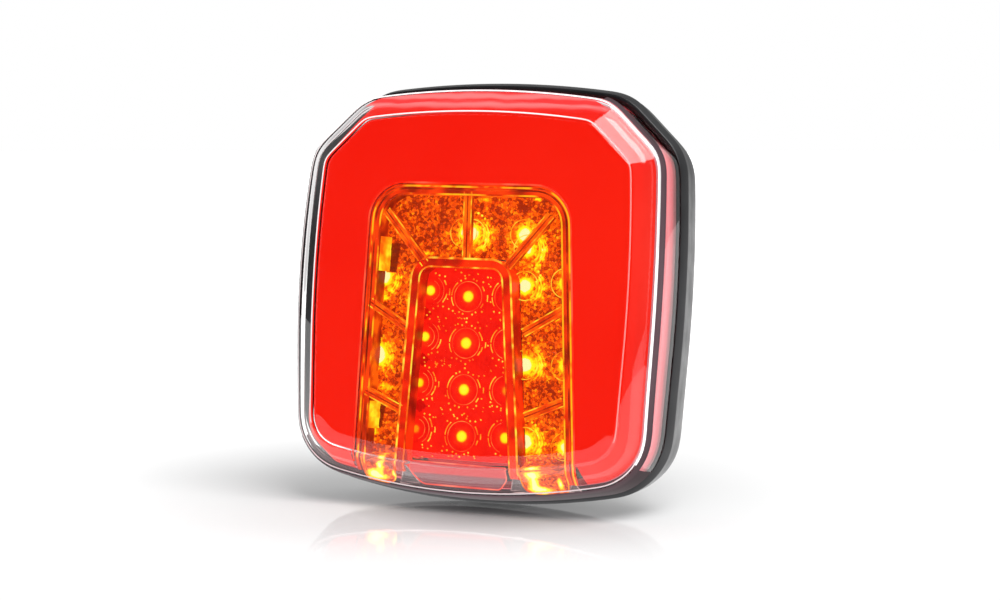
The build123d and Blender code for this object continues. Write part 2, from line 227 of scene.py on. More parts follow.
def rings(name, loops, close_ends=False, wrap=False):
    """A surface through closed loops of equal length."""
    count = len(loops[0])
    faces = quads(len(loops), count, wrap)
    if close_ends:
        faces.append(tuple(range(count)))
        faces.append(tuple(range((len(loops) - 1) * count, len(loops) * count)))
    return finish_mesh(name, [p for loop in loops for p in loop], faces)


def section(grow, depth, crowned=1.0, domed=0.0):
    """One ring of the lamp's outline, at a depth that follows the crown or the dome."""
    loop = []
    for p in offset(RIM, grow):
        y = depth + crowned * crown(p.x, p.y) + domed * dome(p.x, p.y)
        loop.append((p.x, y, p.y))
    return loop


def varied(grow, depth, crowned=0.0, domed=0.0):
    """A ring whose offset and depth change with the side of the lamp it is on."""
    loop = []
    for p, normal in zip(RIM, NORMALS):
        q = p + normal * grow(normal)
        y = depth(normal) + crowned * crown(q.x, q.y) + domed * dome(q.x, q.y)
        loop.append((q.x, y, q.y))
    return loop


def cap_sections(grow, depth, steps=14):
    """Rings that close the front, shrinking to its middle."""
    edge = offset(RIM, grow)
    loops = []
    for step in range(1, steps + 1):
        share = 1 - step / (steps + 0.35)
        loops.append([(p.x * share, depth + dome(p.x * share, p.y * share), p.y * share) for p in edge])
    return loops


def tube(name, path, radius, closed=False, sides=10, squash=1.0):
    """A round bead along a path of 3-D points, in mesh."""
    count = len(path)
    loops = []
    for index, point in enumerate(path):
        here = Vector(point)
        before = Vector(path[index - 1] if closed or index else path[0])
        after = Vector(path[(index + 1) % count] if closed or index < count - 1 else path[-1])
        run = (after - before).normalized()
        side = run.cross(Vector((0, 1, 0))).normalized()
        up = side.cross(run).normalized()
        loops.append([tuple(here + side * math.cos(2 * math.pi * k / sides) * radius
                            + up * math.sin(2 * math.pi * k / sides) * radius * squash)
                      for k in range(sides)])
    return rings(name, loops, close_ends=not closed, wrap=closed)


def sheet(name, outline, height, spacing, smooth=True):
    """A surface over a flat outline, made of even triangles."""
    flat, count = list(outline), len(outline)
    low = Vector((min(p.x for p in outline), min(p.y for p in outline)))
    high = Vector((max(p.x for p in outline), max(p.y for p in outline)))
    row_height = spacing * math.sqrt(3) / 2
    for row in range(int((high.y - low.y) / row_height) + 1):
        for column in range(int((high.x - low.x) / spacing) + 1):
            flat.append(low + Vector(((column + 0.5 * (row % 2)) * spacing, row * row_height)))
    edges = [(k, (k + 1) % count) for k in range(count)]
    points, _, faces = geometry.delaunay_2d_cdt(flat, edges, [list(range(count))], 1, 1e-5)[:3]
    kept = []
    for face in faces:
        if inside(sum((points[i] for i in face), Vector((0, 0))) / len(face), outline):
            kept.append(face)
    used = sorted({i for face in kept for i in face})
    renumber = {old: new for new, old in enumerate(used)}
    verts = [(points[i].x, height(points[i].x, points[i].y), points[i].y) for i in used]
    return finish_mesh(name, verts, [tuple(renumber[i] for i in face) for face in kept], smooth)


def inside(point, loop):
    hit = False
    for a, b in zip(loop, loop[1:] + loop[:1]):
        if (a.y > point.y) != (b.y > point.y):
            if point.x < (b.x - a.x) * (point.y - a.y) / (b.y - a.y) + a.x:
                hit = not hit
    return hit


def place(piece, material, replaces=()):
    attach(piece, "root")
    piece.data.materials.clear()
    piece.data.materials.append(material)
    if replaces:
        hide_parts(*replaces)
    return piece


# ---- materials
class Nodes:
    """A small builder for the node trees of materials and of the world."""

    def __init__(self, name, kind="materials", shader="Principled BSDF", coords="Object"):
        self.material = getattr(bpy.data, kind).new(name)
        self.material.use_nodes = True
        self.tree = self.material.node_tree
        self.shader = self.tree.nodes[shader]
        self.coords = self.tree.nodes.new("ShaderNodeTexCoord").outputs[coords]

    def give(self, node, key, value):
        if hasattr(value, "is_output"):
            self.tree.links.new(value, node.inputs[key])
        else:
            node.inputs[key].default_value = value

    def add(self, kind, inputs=None, **settings):
        node = self.tree.nodes.new("ShaderNode" + kind)
        for key, value in settings.items():
            setattr(node, key, value)
        for key, value in (inputs or {}).items():
            self.give(node, key, value)
        return node

    def link(self, output, key):
        self.tree.links.new(output, self.shader.inputs[key])

    def set(self, **values):
        for key, value in values.items():
            self.shader.inputs[key.replace("_", " ")].default_value = value

    def shine(self, colour):
        """Link the emission's colour, which finishes a glowing material."""
        self.link(colour, "Emission Color")
        return self.material

    def output(self, shader, node="Material Output"):
        self.tree.links.new(shader, self.tree.nodes[node].inputs[0])

    def axis(self, index):
        return self.add("SeparateXYZ", {0: self.coords}).outputs[index]

    def noise(self, scale, detail=3.0, rough=0.5):
        return self.add("TexNoise", {"Vector": self.coords, "Scale": scale, "Detail": detail,
                                     "Roughness": rough}).outputs["Fac"]

    def wander(self, amount, *noise):
        """Noise that goes to both sides of nought."""
        return self.times(self.minus(self.noise(*noise), 0.5), amount)

    def voronoi(self, scale, feature="F1", output="Distance", jitter=1.0):
        return self.add("TexVoronoi", {"Vector": self.coords, "Scale": scale, "Randomness": jitter},
                        feature=feature).outputs[output]

    def ramp(self, factor, *stops):
        node = self.add("ValToRGB", {"Fac": factor})
        elements = node.color_ramp.elements
        while len(elements) > 1:
            elements.remove(elements[-1])
        elements[0].position = stops[0][0]
        elements[0].color = (*stops[0][1], 1)
        for position, colour in stops[1:]:
            elements.new(position).color = (*colour, 1)
        return node.outputs["Color"]

    def remap(self, value, low, high, start=0.0, end=1.0, **settings):
        return self.add("MapRange", {0: value, 1: low, 2: high, 3: start, 4: end}, **settings).outputs[0]

    def math(self, operation, a, b=0.0):
        return self.add("Math", {0: a, 1: b}, operation=operation).outputs[0]

    def plus(self, a, b):
        return self.math("ADD", a, b)

    def minus(self, a, b):
        return self.math("SUBTRACT", a, b)

    def times(self, a, b):
        return self.math("MULTIPLY", a, b)

    def mix(self, factor, a, b):
        node = self.add("Mix", {0: factor}, data_type="RGBA")
        for key, value in ((6, a), (7, b)):
            self.give(node, key, value if hasattr(value, "is_output") else (*value, 1))
        return node.outputs[2]

    def attribute(self, name):
        return self.add("Attribute", attribute_name=name).outputs["Fac"]

    def bump(self, height, strength, distance):
        node = self.add("Bump", {"Height": height, "Strength": strength, "Distance": distance})
        self.link(node.outputs["Normal"], "Normal")


def grey(value):
    return (value, value, value)


def plastic_nodes(name, dark, light, rough_low, rough_high, grain=2600.0, bump=0.15):
    """Moulded plastic: fine grain, slight blotches in colour and gloss."""
    m = Nodes(name)
    m.link(m.ramp(m.noise(60.0, 4.0), (0.3, dark), (0.75, light)), "Base Color")
    m.link(m.ramp(m.noise(180.0, 5.0), (0.3, grey(rough_low)), (0.7, grey(rough_high))), "Roughness")
    m.bump(m.noise(grain, 2.0), bump, 0.0001)
    return m


def plastic(*settings):
    return plastic_nodes(*settings).material


def black_plastic():
    """Black with a satin gloss, which wears off towards the underside."""
    m = plastic_nodes("black_housing_plastic", (0.010, 0.010, 0.011), (0.020, 0.020, 0.022), 0.30, 0.42)
    m.link(m.remap(m.axis(2), -0.047, -0.036, 0.04, 0.5), "Specular IOR Level")
    return m.material


def rubber(name):
    return plastic(name, (0.014, 0.014, 0.015), (0.030, 0.030, 0.032), 0.65, 0.85, 1500.0, 0.3)


def clear_plastic(name, tint, roughness=0.01):
    m = Nodes(name)
    m.set(Transmission_Weight=1.0, IOR=1.49, Base_Color=(*tint, 1), Roughness=roughness)
    m.bump(m.noise(25.0, 2.0), 0.02, 0.0002)
    return m.material


# ---- lens
def make_lens():
    """The clear cover: domed front, bevel, crowned rim, rounded shoulder and drafted wall."""
    edge_y = FRONT_Y + 0.05
    outer = [varied(foot_grow, lambda n: FOOT_Y), varied(foot_grow, lambda n: FLANGE_Y)]
    for grow, depth, crowned in ((1.55, WALL_Y, 0.25), (1.2, RIM_Y + 2.6, 0.8), (0.98, RIM_Y + 1.4, 1.0),
                                 (0.82, RIM_Y + 0.8, 1.0), (0.5, RIM_Y + 0.3, 1.0),
                                 (0.2, RIM_Y + 0.08, 1.0)):
        outer.append(varied(lambda n: grow * (1 - 0.6 * top_share(n)), lambda n: depth, crowned))
    outer += [section(0.0, RIM_Y), section(-0.3, RIM_Y - 0.12)]
    outer += [blend_ring(share, edge_y) for share in (0.12, 0.3, 0.5, 0.7, 0.85, 0.93, 0.97)]
    outer += [section(-BEVEL, edge_y - 0.04, 0, 1), section(-BEVEL - 0.4, edge_y - 0.05, 0, 1)]
    outer += cap_sections(-BEVEL - 0.4, FRONT_Y)
    inner = [varied(lambda n: foot_grow(n) - 1.5, lambda n: FOOT_Y),
             varied(lambda n: foot_grow(n) - 1.5, lambda n: FLANGE_Y),
             varied(lambda n: -0.3 - 0.45 * top_share(n), lambda n: WALL_Y, 0.25),
             section(-0.8, RIM_Y + 2.3), section(-1.25, RIM_Y + 1.55),
             section(-BEVEL - 0.5, FRONT_Y + LENS_WALL + 0.15, 0, 1),
             section(-BEVEL - 0.9, FRONT_Y + LENS_WALL, 0, 1)]
    inner += cap_sections(-BEVEL - 0.9, FRONT_Y + LENS_WALL)
    count = LOOP_POINTS
    verts, faces = [], []
    for loops in (outer, inner):
        start = len(verts)
        verts += [p for loop in loops for p in loop]
        faces += quads(len(loops), count, start=start)
        faces.append(tuple(range(len(verts) - count, len(verts))))
    start = len(outer) * count
    faces += [(k, start + k, start + (k + 1) % count, (k + 1) % count) for k in range(count)]
    lens = finish_mesh("lens_cover", verts, faces)
    place(lens, clear_plastic("clear_lens_plastic", (1.0, 1.0, 1.0)), ["outer_lens"])


def top_share(normal):
    return smooth_step(normal.y, 0.3, 0.9)


def foot_grow(normal):
    """The lens wall's foot stands out less at the top than at the sides."""
    return SEAL_GROW - 1.25 * top_share(normal)


def make_rim():
    """The lens's moulded edge: a fine line along the rim that glows as a painted highlight, and a lip behind
    it and the lower wall that glow dark as painted reflection and shade.
    """
    line = tube("lens_rim_painted_highlight", section(0.0, RIM_Y - 0.02), 0.16, closed=True)
    # Painted highlight: the line glows near white towards the top, pinker lower down, and dark at the far
    # left.
    m = Nodes("rim_painted_highlight")
    m.set(Base_Color=(0.5, 0.5, 0.5, 1), Roughness=0.15, Emission_Strength=1.0)
    across = m.remap(m.axis(0), -0.0475, -0.040)
    height = m.remap(m.axis(2), -0.046, -0.020)
    pale = m.ramp(m.plus(height, m.times(m.noise(70.0), 0.5)), (0.15, (0.30, 0.19, 0.21)),
                  (0.5, (0.62, 0.45, 0.47)), (1.1, (0.95, 0.92, 0.92)))
    place(line, m.shine(m.mix(across, (0.06, 0.05, 0.05), pale)))
    # Painted dark reflection and shade: the lip and the lower wall glow mauve near the rim, fading to near
    # black towards the flange.
    m = Nodes("rim_painted_reflection_and_shade")
    m.set(Roughness=0.5, Emission_Strength=1.0, Specular_IOR_Level=0.05)
    m.link(m.ramp(m.noise(50.0), (0.3, (0.020, 0.012, 0.014)), (0.7, (0.05, 0.03, 0.035))), "Base Color")
    share = m.plus(m.remap(m.axis(1), -0.0245, -0.0185), m.wander(0.3, 90.0))
    dark = m.shine(m.ramp(share, (0.05, (0.090, 0.055, 0.064)), (0.35, (0.045, 0.028, 0.032)),
                          (0.6, (0.012, 0.008, 0.009)), (1.0, (0.006, 0.004, 0.004))))
    profile = [(0.42, RIM_Y + 0.18, 1.0), (0.62, RIM_Y + 0.33, 1.0), (0.87, RIM_Y + 0.82, 1.0),
               (1.02, RIM_Y + 1.36, 1.0), (1.16, RIM_Y + 2.1, 0.9)]
    lip = part_way("lens_rim_lip", stretch(lambda n: n.x > 0.25 or n.y < -0.4), profile)
    place(lip, dark)
    profile = [(1.0, RIM_Y + 1.3, 1.0), (1.24, RIM_Y + 2.6, 0.8), (1.59, WALL_Y, 0.25),
               (1.93, FLANGE_Y - 0.05, 0.0)]
    lower = part_way("lens_lower_wall", stretch(lambda n: n.y < -0.55), profile)
    place(lower, dark)


def stretch(chosen):
    """The outline's points with a chosen direction, in order along the outline."""
    picked = {k for k in range(LOOP_POINTS) if chosen(NORMALS[k])}
    first = min(k for k in picked if (k - 1) % LOOP_POINTS not in picked)
    return [(first + k) % LOOP_POINTS for k in range(len(picked))]


def part_way(name, indices, profile):
    """A strip of the lamp's wall over some stretch of the outline."""
    loops = [section(grow, depth, crowned) for grow, depth, crowned in profile]
    faces = quads(len(loops), len(indices), closed=False)
    return finish_mesh(name, [loop[k] for loop in loops for k in indices], faces)


def bevel_strip(name, indices, near, far, taper):
    """A band lying within the bevel, narrowing to a point at both ends."""
    count = len(indices)
    edges = ([], [])
    for k, index in enumerate(indices):
        width = min(1.0, (k + 0.02) / taper, (count - 1 - k + 0.02) / taper)
        for path, share in zip(edges, (0.5 - 0.5 * width, 0.5 + 0.5 * width)):
            inset = near + (far - near) * share
            p = RIM[index] - NORMALS[index] * inset
            depth = RIM_Y + 0.48 - (inset - 0.3) * BEVEL_SLOPE
            fade = 1 - (inset - 0.3) / BEVEL
            path.append((p.x, depth + fade * crown(p.x, p.y) + (1 - fade) * dome(p.x, p.y), p.y))
    return strip(name, edges[0], edges[1])


def make_bevel_bands():
    """A black band inside the left bevel, a painted dark reflection, and a pale band inside the top one, a
    painted reflection.
    """
    line = bevel_strip("left_bevel_painted_dark_reflection", stretch(lambda n: n.x < -0.4 and n.y > -0.6), 2.9, 5.3, 14)
    place(line, plastic("bevel_painted_dark_reflection", (0.004, 0.004, 0.006), (0.012, 0.010, 0.014), 0.5, 0.7))
    band = bevel_strip("top_pale_band", stretch(lambda n: n.y > 0.85), 0.4, 2.6, 6)
    place(band, shoulder_glow())


def make_front_edge():
    """The fine line where the front turns into the bevel, which glows as a painted highlight."""
    loop = section(-BEVEL, FRONT_Y + 0.24, 0, 1)
    path = [loop[k] for k in stretch(lambda n: n.y > -0.35)]
    place(tube("lens_front_edge", path, 0.18, sides=8), edge_painted_highlight())


def blend_ring(share, edge_y):
    """A ring on the bevel, between the crowned rim and the flat front's edge."""
    rim = section(-0.3, RIM_Y - 0.12)
    front = section(-BEVEL, edge_y, 0, 1)
    return [tuple(Vector(a).lerp(Vector(b), share)) for a, b in zip(rim, front)]


# ---- camera, stage and light
def make_camera():
    turn = (Matrix.Rotation(VIEW_AZIMUTH, 3, "Z") @ Matrix.Rotation(math.pi / 2 + VIEW_TILT, 3, "X")
            @ Matrix.Rotation(VIEW_ROLL, 3, "Z"))
    middle = Vector((0, RIM_Y + 3.2, 0))
    data = bpy.data.cameras.new("camera")
    data.lens = VIEW_LENS
    camera = bpy.data.objects.new("camera", data)
    camera.matrix_world = turn.to_4x4()
    camera.location = (middle + turn @ Vector((VIEW_SIDE.x, VIEW_SIDE.y, VIEW_DISTANCE))) * MM
    data.clip_end = 20
    bpy.context.scene.collection.objects.link(camera)
    bpy.context.scene.camera = camera
    return turn


def make_floor(turn):
    """A pale glossy floor under the lamp's lowest edge; its gloss fades away in front."""
    up = turn @ Vector((0, math.cos(FLOOR_ANGLE), math.sin(FLOOR_ANGLE)))
    away = turn @ Vector((0, 0, -1))
    away = (away - up * away.dot(up)).normalized()
    right = away.cross(up)
    corners = [v.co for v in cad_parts["rear_housing"].data.vertices]
    lowest = min(corners, key=lambda v: v.dot(up))
    bm = bmesh.new()
    bmesh.ops.create_grid(bm, x_segments=60, y_segments=60, size=3.0)
    mesh = bpy.data.meshes.new("floor")
    bm.to_mesh(mesh)
    bm.free()
    floor = bpy.data.objects.new("floor", mesh)
    axes = Matrix((right, away, up)).transposed().to_4x4()
    floor.matrix_world = Matrix.Translation(lowest - up * 0.0002) @ axes
    bpy.context.scene.collection.objects.link(floor)
    floor.data.materials.append(floor_material())


def floor_material():
    """Glossy near the lamp and plain white farther out, so that the floor has no edge; close to the lamp its
    colour and glow are darker, a painted contact shadow.
    """
    m = Nodes("pale_floor")
    m.set(Roughness=0.05, Specular_IOR_Level=0.5, Emission_Color=(1, 1, 1, 1))
    side, depth = m.axis(0), m.axis(1)
    reach = m.math("SQRT", m.plus(m.math("POWER", side, 2.0), m.math("POWER", m.times(depth, 0.8), 2.0)))
    pale = m.ramp(m.noise(3.0), (0.3, grey(0.84)), (0.7, grey(0.86)))
    # Painted contact shadow: dark grey colour close to the lamp, pale farther out.
    m.link(m.mix(m.remap(reach, 0.008, 0.038), grey(0.14), pale), "Base Color")
    # The glow is weak near the lamp and strong far out: painted shadow near the lamp, even white far away.
    far = m.remap(reach, 0.06, 0.24, 0.0, 0.88)
    contact_painted_shadow = m.remap(reach, 0.005, 0.06, 0.01, 0.22)
    m.link(m.plus(far, contact_painted_shadow), "Emission Strength")
    front = m.remap(depth, -0.108, -0.030, 1.0, 0.0, interpolation_type="SMOOTHSTEP")
    white = m.add("Emission", {"Color": (1, 1, 1, 1), "Strength": 1.05}).outputs[0]
    bounce = m.add("Emission", {"Color": (1, 1, 1, 1), "Strength": 1.5}).outputs[0]
    near = m.add("MixShader", {0: front, 1: m.shader.outputs[0], 2: white}).outputs[0]
    seen = m.add("LightPath").outputs["Is Camera Ray"]
    m.output(m.add("MixShader", {0: seen, 1: bounce, 2: near}).outputs[0])
    return m.material


def make_light():
    """One soft box above the lamp, in front of it and to the right."""
    data = bpy.data.lights.new("top_softbox", "AREA")
    data.shape = "RECTANGLE"
    data.size, data.size_y = SOFTBOX_SIZE
    data.energy = SOFTBOX_POWER
    light = bpy.data.objects.new("top_softbox", data)
    light.location = SOFTBOX_AT
    light.rotation_euler = (-Vector(SOFTBOX_AT)).to_track_quat("-Z", "Y").to_euler()
    bpy.context.scene.collection.objects.link(light)


def make_world():
    """White behind the lamp and dim elsewhere, as in a tent with dark sides; white to the camera."""
    w = Nodes("studio", "worlds", "Background", "Generated")
    bpy.context.scene.world = w.material
    backwards = w.axis(1)
    w.link(w.remap(backwards, -0.05, 0.35, 0.02, 0.5), "Color")
    path = w.add("LightPath").outputs
    through = w.times(w.remap(backwards, 0.2, 0.4), path["Is Transmission Ray"])
    seen = w.math("MAXIMUM", path["Is Camera Ray"], through)
    white = w.add("Background", {"Color": (1, 1, 1, 1)}).outputs[0]
    w.output(w.add("MixShader", {0: seen, 1: w.shader.outputs[0], 2: white}).outputs[0], "World Output")


# ---- outlines of the lit panels
def shifted(x, z, shift):
    return x + shift - LEAN * z


def arch_line(shape, grow, shift, foot, steps=9):
    """An arch from its left foot over the top to its right foot."""
    top, half, radius, flare = shape
    top, half, radius = top + grow, half + grow, radius + grow
    start = half + flare * (shape[0] - foot)
    lean = math.atan(flare)
    centre = Vector((-half - flare * 0.3 * radius + radius, top - radius))
    left = [Vector((-start, foot))]
    for k in range(steps + 1):
        turn = math.pi - lean - (math.pi / 2 - lean) * k / steps
        left.append(centre + radius * Vector((math.cos(turn), math.sin(turn))))
    path = left + [Vector((-p.x, p.y)) for p in reversed(left)]
    return [Vector((shifted(p.x, p.y, shift), p.y)) for p in path]


def resample_path(points, step):
    made = [points[0]]
    for a, b in zip(points, points[1:]):
        parts = max(1, round((b - a).length / step))
        made += [a.lerp(b, k / parts) for k in range(1, parts + 1)]
    return made


def resample_loop(loop, step):
    return resample_path(loop + [loop[0]], step)[:-1]


def rounded(loop, corners, radius, steps=6):
    """A closed outline with the chosen corners rounded off."""
    made = []
    for index, point in enumerate(loop):
        if index not in corners:
            made.append(point)
            continue
        before = (loop[index - 1] - point).normalized() * radius
        after = (loop[(index + 1) % len(loop)] - point).normalized() * radius
        for k in range(steps + 1):
            share = k / steps
            made.append(point + before * (1 - share) ** 2 + after * share ** 2)
    return made


def bevel_drop(z):
    """How far the panels fall back below the bend."""
    return max(0.0, BEND_Z - z) * BEND_SLOPE


# ---- materials of the lit parts
def glowing(name, base, roughness=0.3, specular=0.1):
    """The start of a material that shines by itself."""
    m = Nodes(name)
    m.set(Base_Color=(*base, 1), Roughness=roughness, Emission_Strength=1.0, Specular_IOR_Level=specular)
    return m


def red_glow():
    m = glowing("red_tail_glow", (0.08, 0.001, 0.0005), 0.35)
    return m.shine(m.ramp(m.noise(18.0, 2.0), (0.3, (0.95, 0.008, 0.0015)), (0.7, (1.0, 0.014, 0.003))))


def pink_glow():
    """The side wall: glowing red, pale near the rim as a painted reflection, dark red at the foot as painted
    shade.
    """
    m = glowing("side_red_painted_reflection_and_shade", (0.3, 0.04, 0.04), 0.4, 0.2)
    share = m.plus(m.remap(m.axis(1), -0.0230, -0.0151), m.wander(0.16, 90.0))
    return m.shine(m.ramp(share, (0.05, (0.36, 0.12, 0.15)), (0.3, (0.66, 0.12, 0.15)),
                          (0.5, (0.80, 0.19, 0.22)), (0.72, (0.60, 0.08, 0.10)),
                          (0.86, (0.22, 0.008, 0.014)), (1.0, (0.10, 0.004, 0.006))))


def amber_glow():
    """Crackled amber optics: fine facets, dark patches, and light that grows towards each lamp."""
    m = glowing("amber_optics_glow", (0.25, 0.03, 0.002))
    tone = m.add("SeparateColor", {"Color": m.voronoi(1500.0, output="Color")}).outputs[0]
    cracks = m.times(m.minus(0.16, m.voronoi(1500.0, "DISTANCE_TO_EDGE")), 1.3)
    rough = m.plus(m.times(m.minus(tone, 0.5), 0.60), m.wander(0.95, 330.0, 4.0, 0.65))
    lit = m.attribute("lit")
    grain = m.minus(rough, m.math("MAXIMUM", cracks, 0.0))
    value = m.plus(lit, m.times(grain, m.remap(lit, 0.7, 1.3, 1.0, 0.25)))
    value = m.times(m.math("MAXIMUM", value, 0.10), m.attribute("clear"))
    return m.shine(m.ramp(m.times(value, 0.6), (0.0, (0.04, 0.003, 0.001)), (0.05, (0.22, 0.010, 0.001)),
                          (0.20, (0.80, 0.060, 0.001)), (0.34, (1.0, 0.14, 0.002)),
                          (0.50, (1.0, 0.48, 0.003)), (0.66, (1.0, 0.90, 0.006)), (0.93, (1.0, 1.0, 0.02)),
                          (1.0, (1.0, 1.0, 0.45))))


def brake_glow():
    """Red optics: blotches, fine grain and the light of each lamp."""
    m = glowing("brake_optics_glow", (0.2, 0.004, 0.002))
    value = m.plus(m.attribute("lit"), m.wander(0.30, 260.0, 4.0, 0.6))
    value = m.times(m.plus(value, m.wander(0.16, 1600.0, 2.0, 0.5)), m.attribute("clear"))
    return m.shine(m.ramp(m.times(value, 0.7), (0.0, (0.20, 0.0, 0.0)), (0.16, (0.75, 0.004, 0.002)),
                          (0.26, (1.0, 0.012, 0.003)), (0.38, (1.0, 0.05, 0.004)),
                          (0.50, (1.0, 0.30, 0.004)), (0.62, (1.0, 0.72, 0.004)), (0.80, (1.0, 0.92, 0.01)),
                          (1.0, (1.0, 1.0, 0.03))))


# Colours of a moulded edge's dim, middling and bright stretches, and the scale of the stretches.
BEAD_GLOWS = {
    "pale_red_lip": ((1.0, 0.014, 0.003), (1.0, 0.05, 0.02), (1.0, 0.12, 0.06), 90.0),
    "amber_feet_bead": ((0.80, 0.06, 0.002), (1.0, 0.25, 0.004), (1.0, 0.85, 0.05), 260.0),
    "amber_frame_face": ((0.30, 0.012, 0.001), (0.85, 0.030, 0.002), (1.0, 0.06, 0.003), 110.0),
    "amber_bead": ((0.38, 0.014, 0.001), (0.85, 0.042, 0.002), (1.0, 0.50, 0.010), 160.0),
    "dark_groove": ((0.06, 0.004, 0.001), (0.22, 0.01, 0.001), (0.9, 0.06, 0.002), 120.0),
    "amber_wall": ((0.12, 0.006, 0.001), (0.50, 0.025, 0.001), (0.95, 0.12, 0.002), 150.0),
    "lit_wall": ((1.0, 0.14, 0.002), (1.0, 0.40, 0.004), (1.0, 0.85, 0.02), 210.0),
    "brake_frame_face": ((0.42, 0.006, 0.001), (0.85, 0.012, 0.001), (1.0, 0.03, 0.002), 130.0),
    "portal_bead": ((0.65, 0.02, 0.001), (1.0, 0.16, 0.004), (1.0, 0.80, 0.06), 230.0),
    "portal_wall": ((0.16, 0.003, 0.001), (0.50, 0.008, 0.001), (0.95, 0.03, 0.002), 110.0),
    "rib_face": ((0.60, 0.03, 0.001), (0.95, 0.07, 0.002), (1.0, 0.16, 0.003), 240.0),
    "rib_edge": ((0.9, 0.05, 0.002), (1.0, 0.22, 0.004), (1.0, 0.75, 0.03), 260.0),
    "rib_seam": ((0.25, 0.008, 0.001), (0.45, 0.015, 0.001), (0.9, 0.07, 0.002), 200.0),
    "rib_side": ((0.25, 0.012, 0.001), (0.75, 0.06, 0.002), (1.0, 0.16, 0.003), 180.0),
    "amber_ring": ((1.0, 0.16, 0.003), (1.0, 0.45, 0.01), (1.0, 0.80, 0.05), 300.0),
    "amber_arc": ((1.0, 0.45, 0.005), (1.0, 0.8, 0.01), (1.0, 0.95, 0.05), 300.0),
    "brake_ring": ((1.0, 0.05, 0.01), (1.0, 0.14, 0.03), (1.0, 0.35, 0.06), 300.0),
    "brake_sparkle": ((1.0, 0.14, 0.01), (1.0, 0.38, 0.02), (1.0, 0.70, 0.06), 260.0),
    # Painted highlights on the unlit brake foot's edge and the bezel tips' outline.
    "brake_foot_painted_edge_highlight": ((0.75, 0.03, 0.02), (1.0, 0.09, 0.06), (1.0, 0.22, 0.14), 120.0),
    "bezel_tip_painted_highlight": ((0.20, 0.14, 0.14), (0.35, 0.26, 0.26), (0.62, 0.48, 0.46), 260.0),
}


def bead_glow(name, rightward=0.0):
    """A moulded edge that catches light in short stretches, more of them towards the right if asked."""
    dim, middling, bright, scale = BEAD_GLOWS[name]
    m = glowing(name, (0.2, 0.02, 0.004), 0.25)
    value = m.noise(scale, 2.0, 0.6)
    if rightward:
        value = m.plus(value, m.remap(m.axis(0), 0.019, 0.023, 0.0, rightward))
    return m.shine(m.ramp(value, (0.36, dim), (0.50, middling), (0.62, bright)))


# ---- the lit parts
def make_tail_shell():
    """The red glowing shell: front with its arch opening, shoulder, and side wall."""
    front_y = FRONT_Y + LENS_WALL + 0.45
    outline = offset(RIM, -SHELL_EDGE)
    right = [p.y < 0 and p.x > arch_side(p.y, 1) for p in outline]
    start = next(k for k, p in enumerate(outline)
                 if right[k] and not outline[k - 1].x > arch_side(outline[k - 1].y, 1))
    ring = outline[start:] + outline[:start]
    stop = next(k for k in range(len(ring) - 1, 0, -1) if ring[k].x < arch_side(ring[k].y, -1))
    ring = ring[:stop + 1]
    inner = arch_line(ARCH, 0.0, ARCH_SHIFT, (ring[0].y + ring[-1].y) / 2 + 0.4)
    front = sheet("tail_shell_front", ring + resample_path(inner, 0.9), lambda x, z: front_y + dome(x, z),
                  1.8)
    place(front, red_glow(), ["tail_diffuser"])

    brow = varied(lambda n: -1.4 - 2.4 * left_share(n), lambda n: RIM_Y + 2.1 + 0.8 * left_share(n), 1.0)
    loops = [section(-SHELL_EDGE, front_y, 0, 1), section(-4.9, front_y + 0.35, 0.12, 0.9),
             section(-4.3, front_y + 0.95, 0.24, 0.8), brow]
    verts = [p for loop in loops for p in (loop[start:] + loop[:start])[:len(ring)]]
    shoulder = finish_mesh("tail_shell_shoulder", verts, quads(len(loops), len(ring), closed=False))
    # The shoulder's pale striped top is painted reflection.
    place(shoulder, shoulder_glow())
    wall = varied(lambda n: -0.75 - 1.4 * left_share(n), lambda n: WALL_Y, 0.3)
    foot = varied(lambda n: -0.2 - 0.5 * top_share(n) - 0.9 * left_share(n), lambda n: FLANGE_Y + 0.1)
    side = rings("tail_shell_side", [brow, wall, foot, section(-2.8, FLANGE_Y + 0.1, 0)])
    # The side wall carries painted reflection and painted shade.
    place(side, pink_glow())
    path = resample_path(arch_line(ARCH, -0.1, ARCH_SHIFT, -42.5), 0.8)
    lip = tube("tail_shell_lip", [(p.x, front_y + dome(p.x, p.y) - 0.05, p.y) for p in path], 0.22, sides=8)
    place(lip, bead_glow("pale_red_lip"))


def left_share(normal):
    return smooth_step(-normal.x, 0.25, 0.85)


def shoulder_glow():
    """Glows red on the sides, and paler with stripes along the top, a painted reflection."""
    m = glowing("red_with_painted_top_reflection", (0.08, 0.004, 0.004), 0.35)
    stripes = m.add("TexWave", {"Vector": m.coords, "Scale": 120.0, "Distortion": 2.0, "Detail": 1.0},
                    bands_direction="Z").outputs["Fac"]
    pale = m.ramp(stripes, (0.2, (1.0, 0.05, 0.05)), (0.6, (1.0, 0.17, 0.17)), (0.9, (1.0, 0.24, 0.24)))
    plain = m.ramp(m.noise(30.0), (0.3, (0.92, 0.010, 0.004)), (0.7, (1.0, 0.03, 0.016)))
    # Above a set height the plain red gives way to pale stripes, a painted reflection.
    return m.shine(m.mix(m.remap(m.axis(2), 0.0415, 0.0435), plain, pale))


def edge_painted_highlight():
    """The front's moulded edge as a painted highlight: it glows white towards the upper left and pale red
    towards the lower right.
    """
    m = glowing("shell_edge_painted_highlight", (0.4, 0.3, 0.3), 0.2, 0.2)
    share = m.plus(m.remap(m.minus(m.axis(0), m.axis(2)), -0.030, 0.020), m.wander(0.3, 60.0))
    return m.shine(m.ramp(share, (0.25, (0.95, 0.90, 0.90)), (0.6, (1.0, 0.20, 0.18)),
                          (0.85, (1.0, 0.09, 0.07))))


def arch_side(z, sign):
    top, half, _, flare = ARCH
    return shifted(sign * (half + flare * (top - z)), z, ARCH_SHIFT)


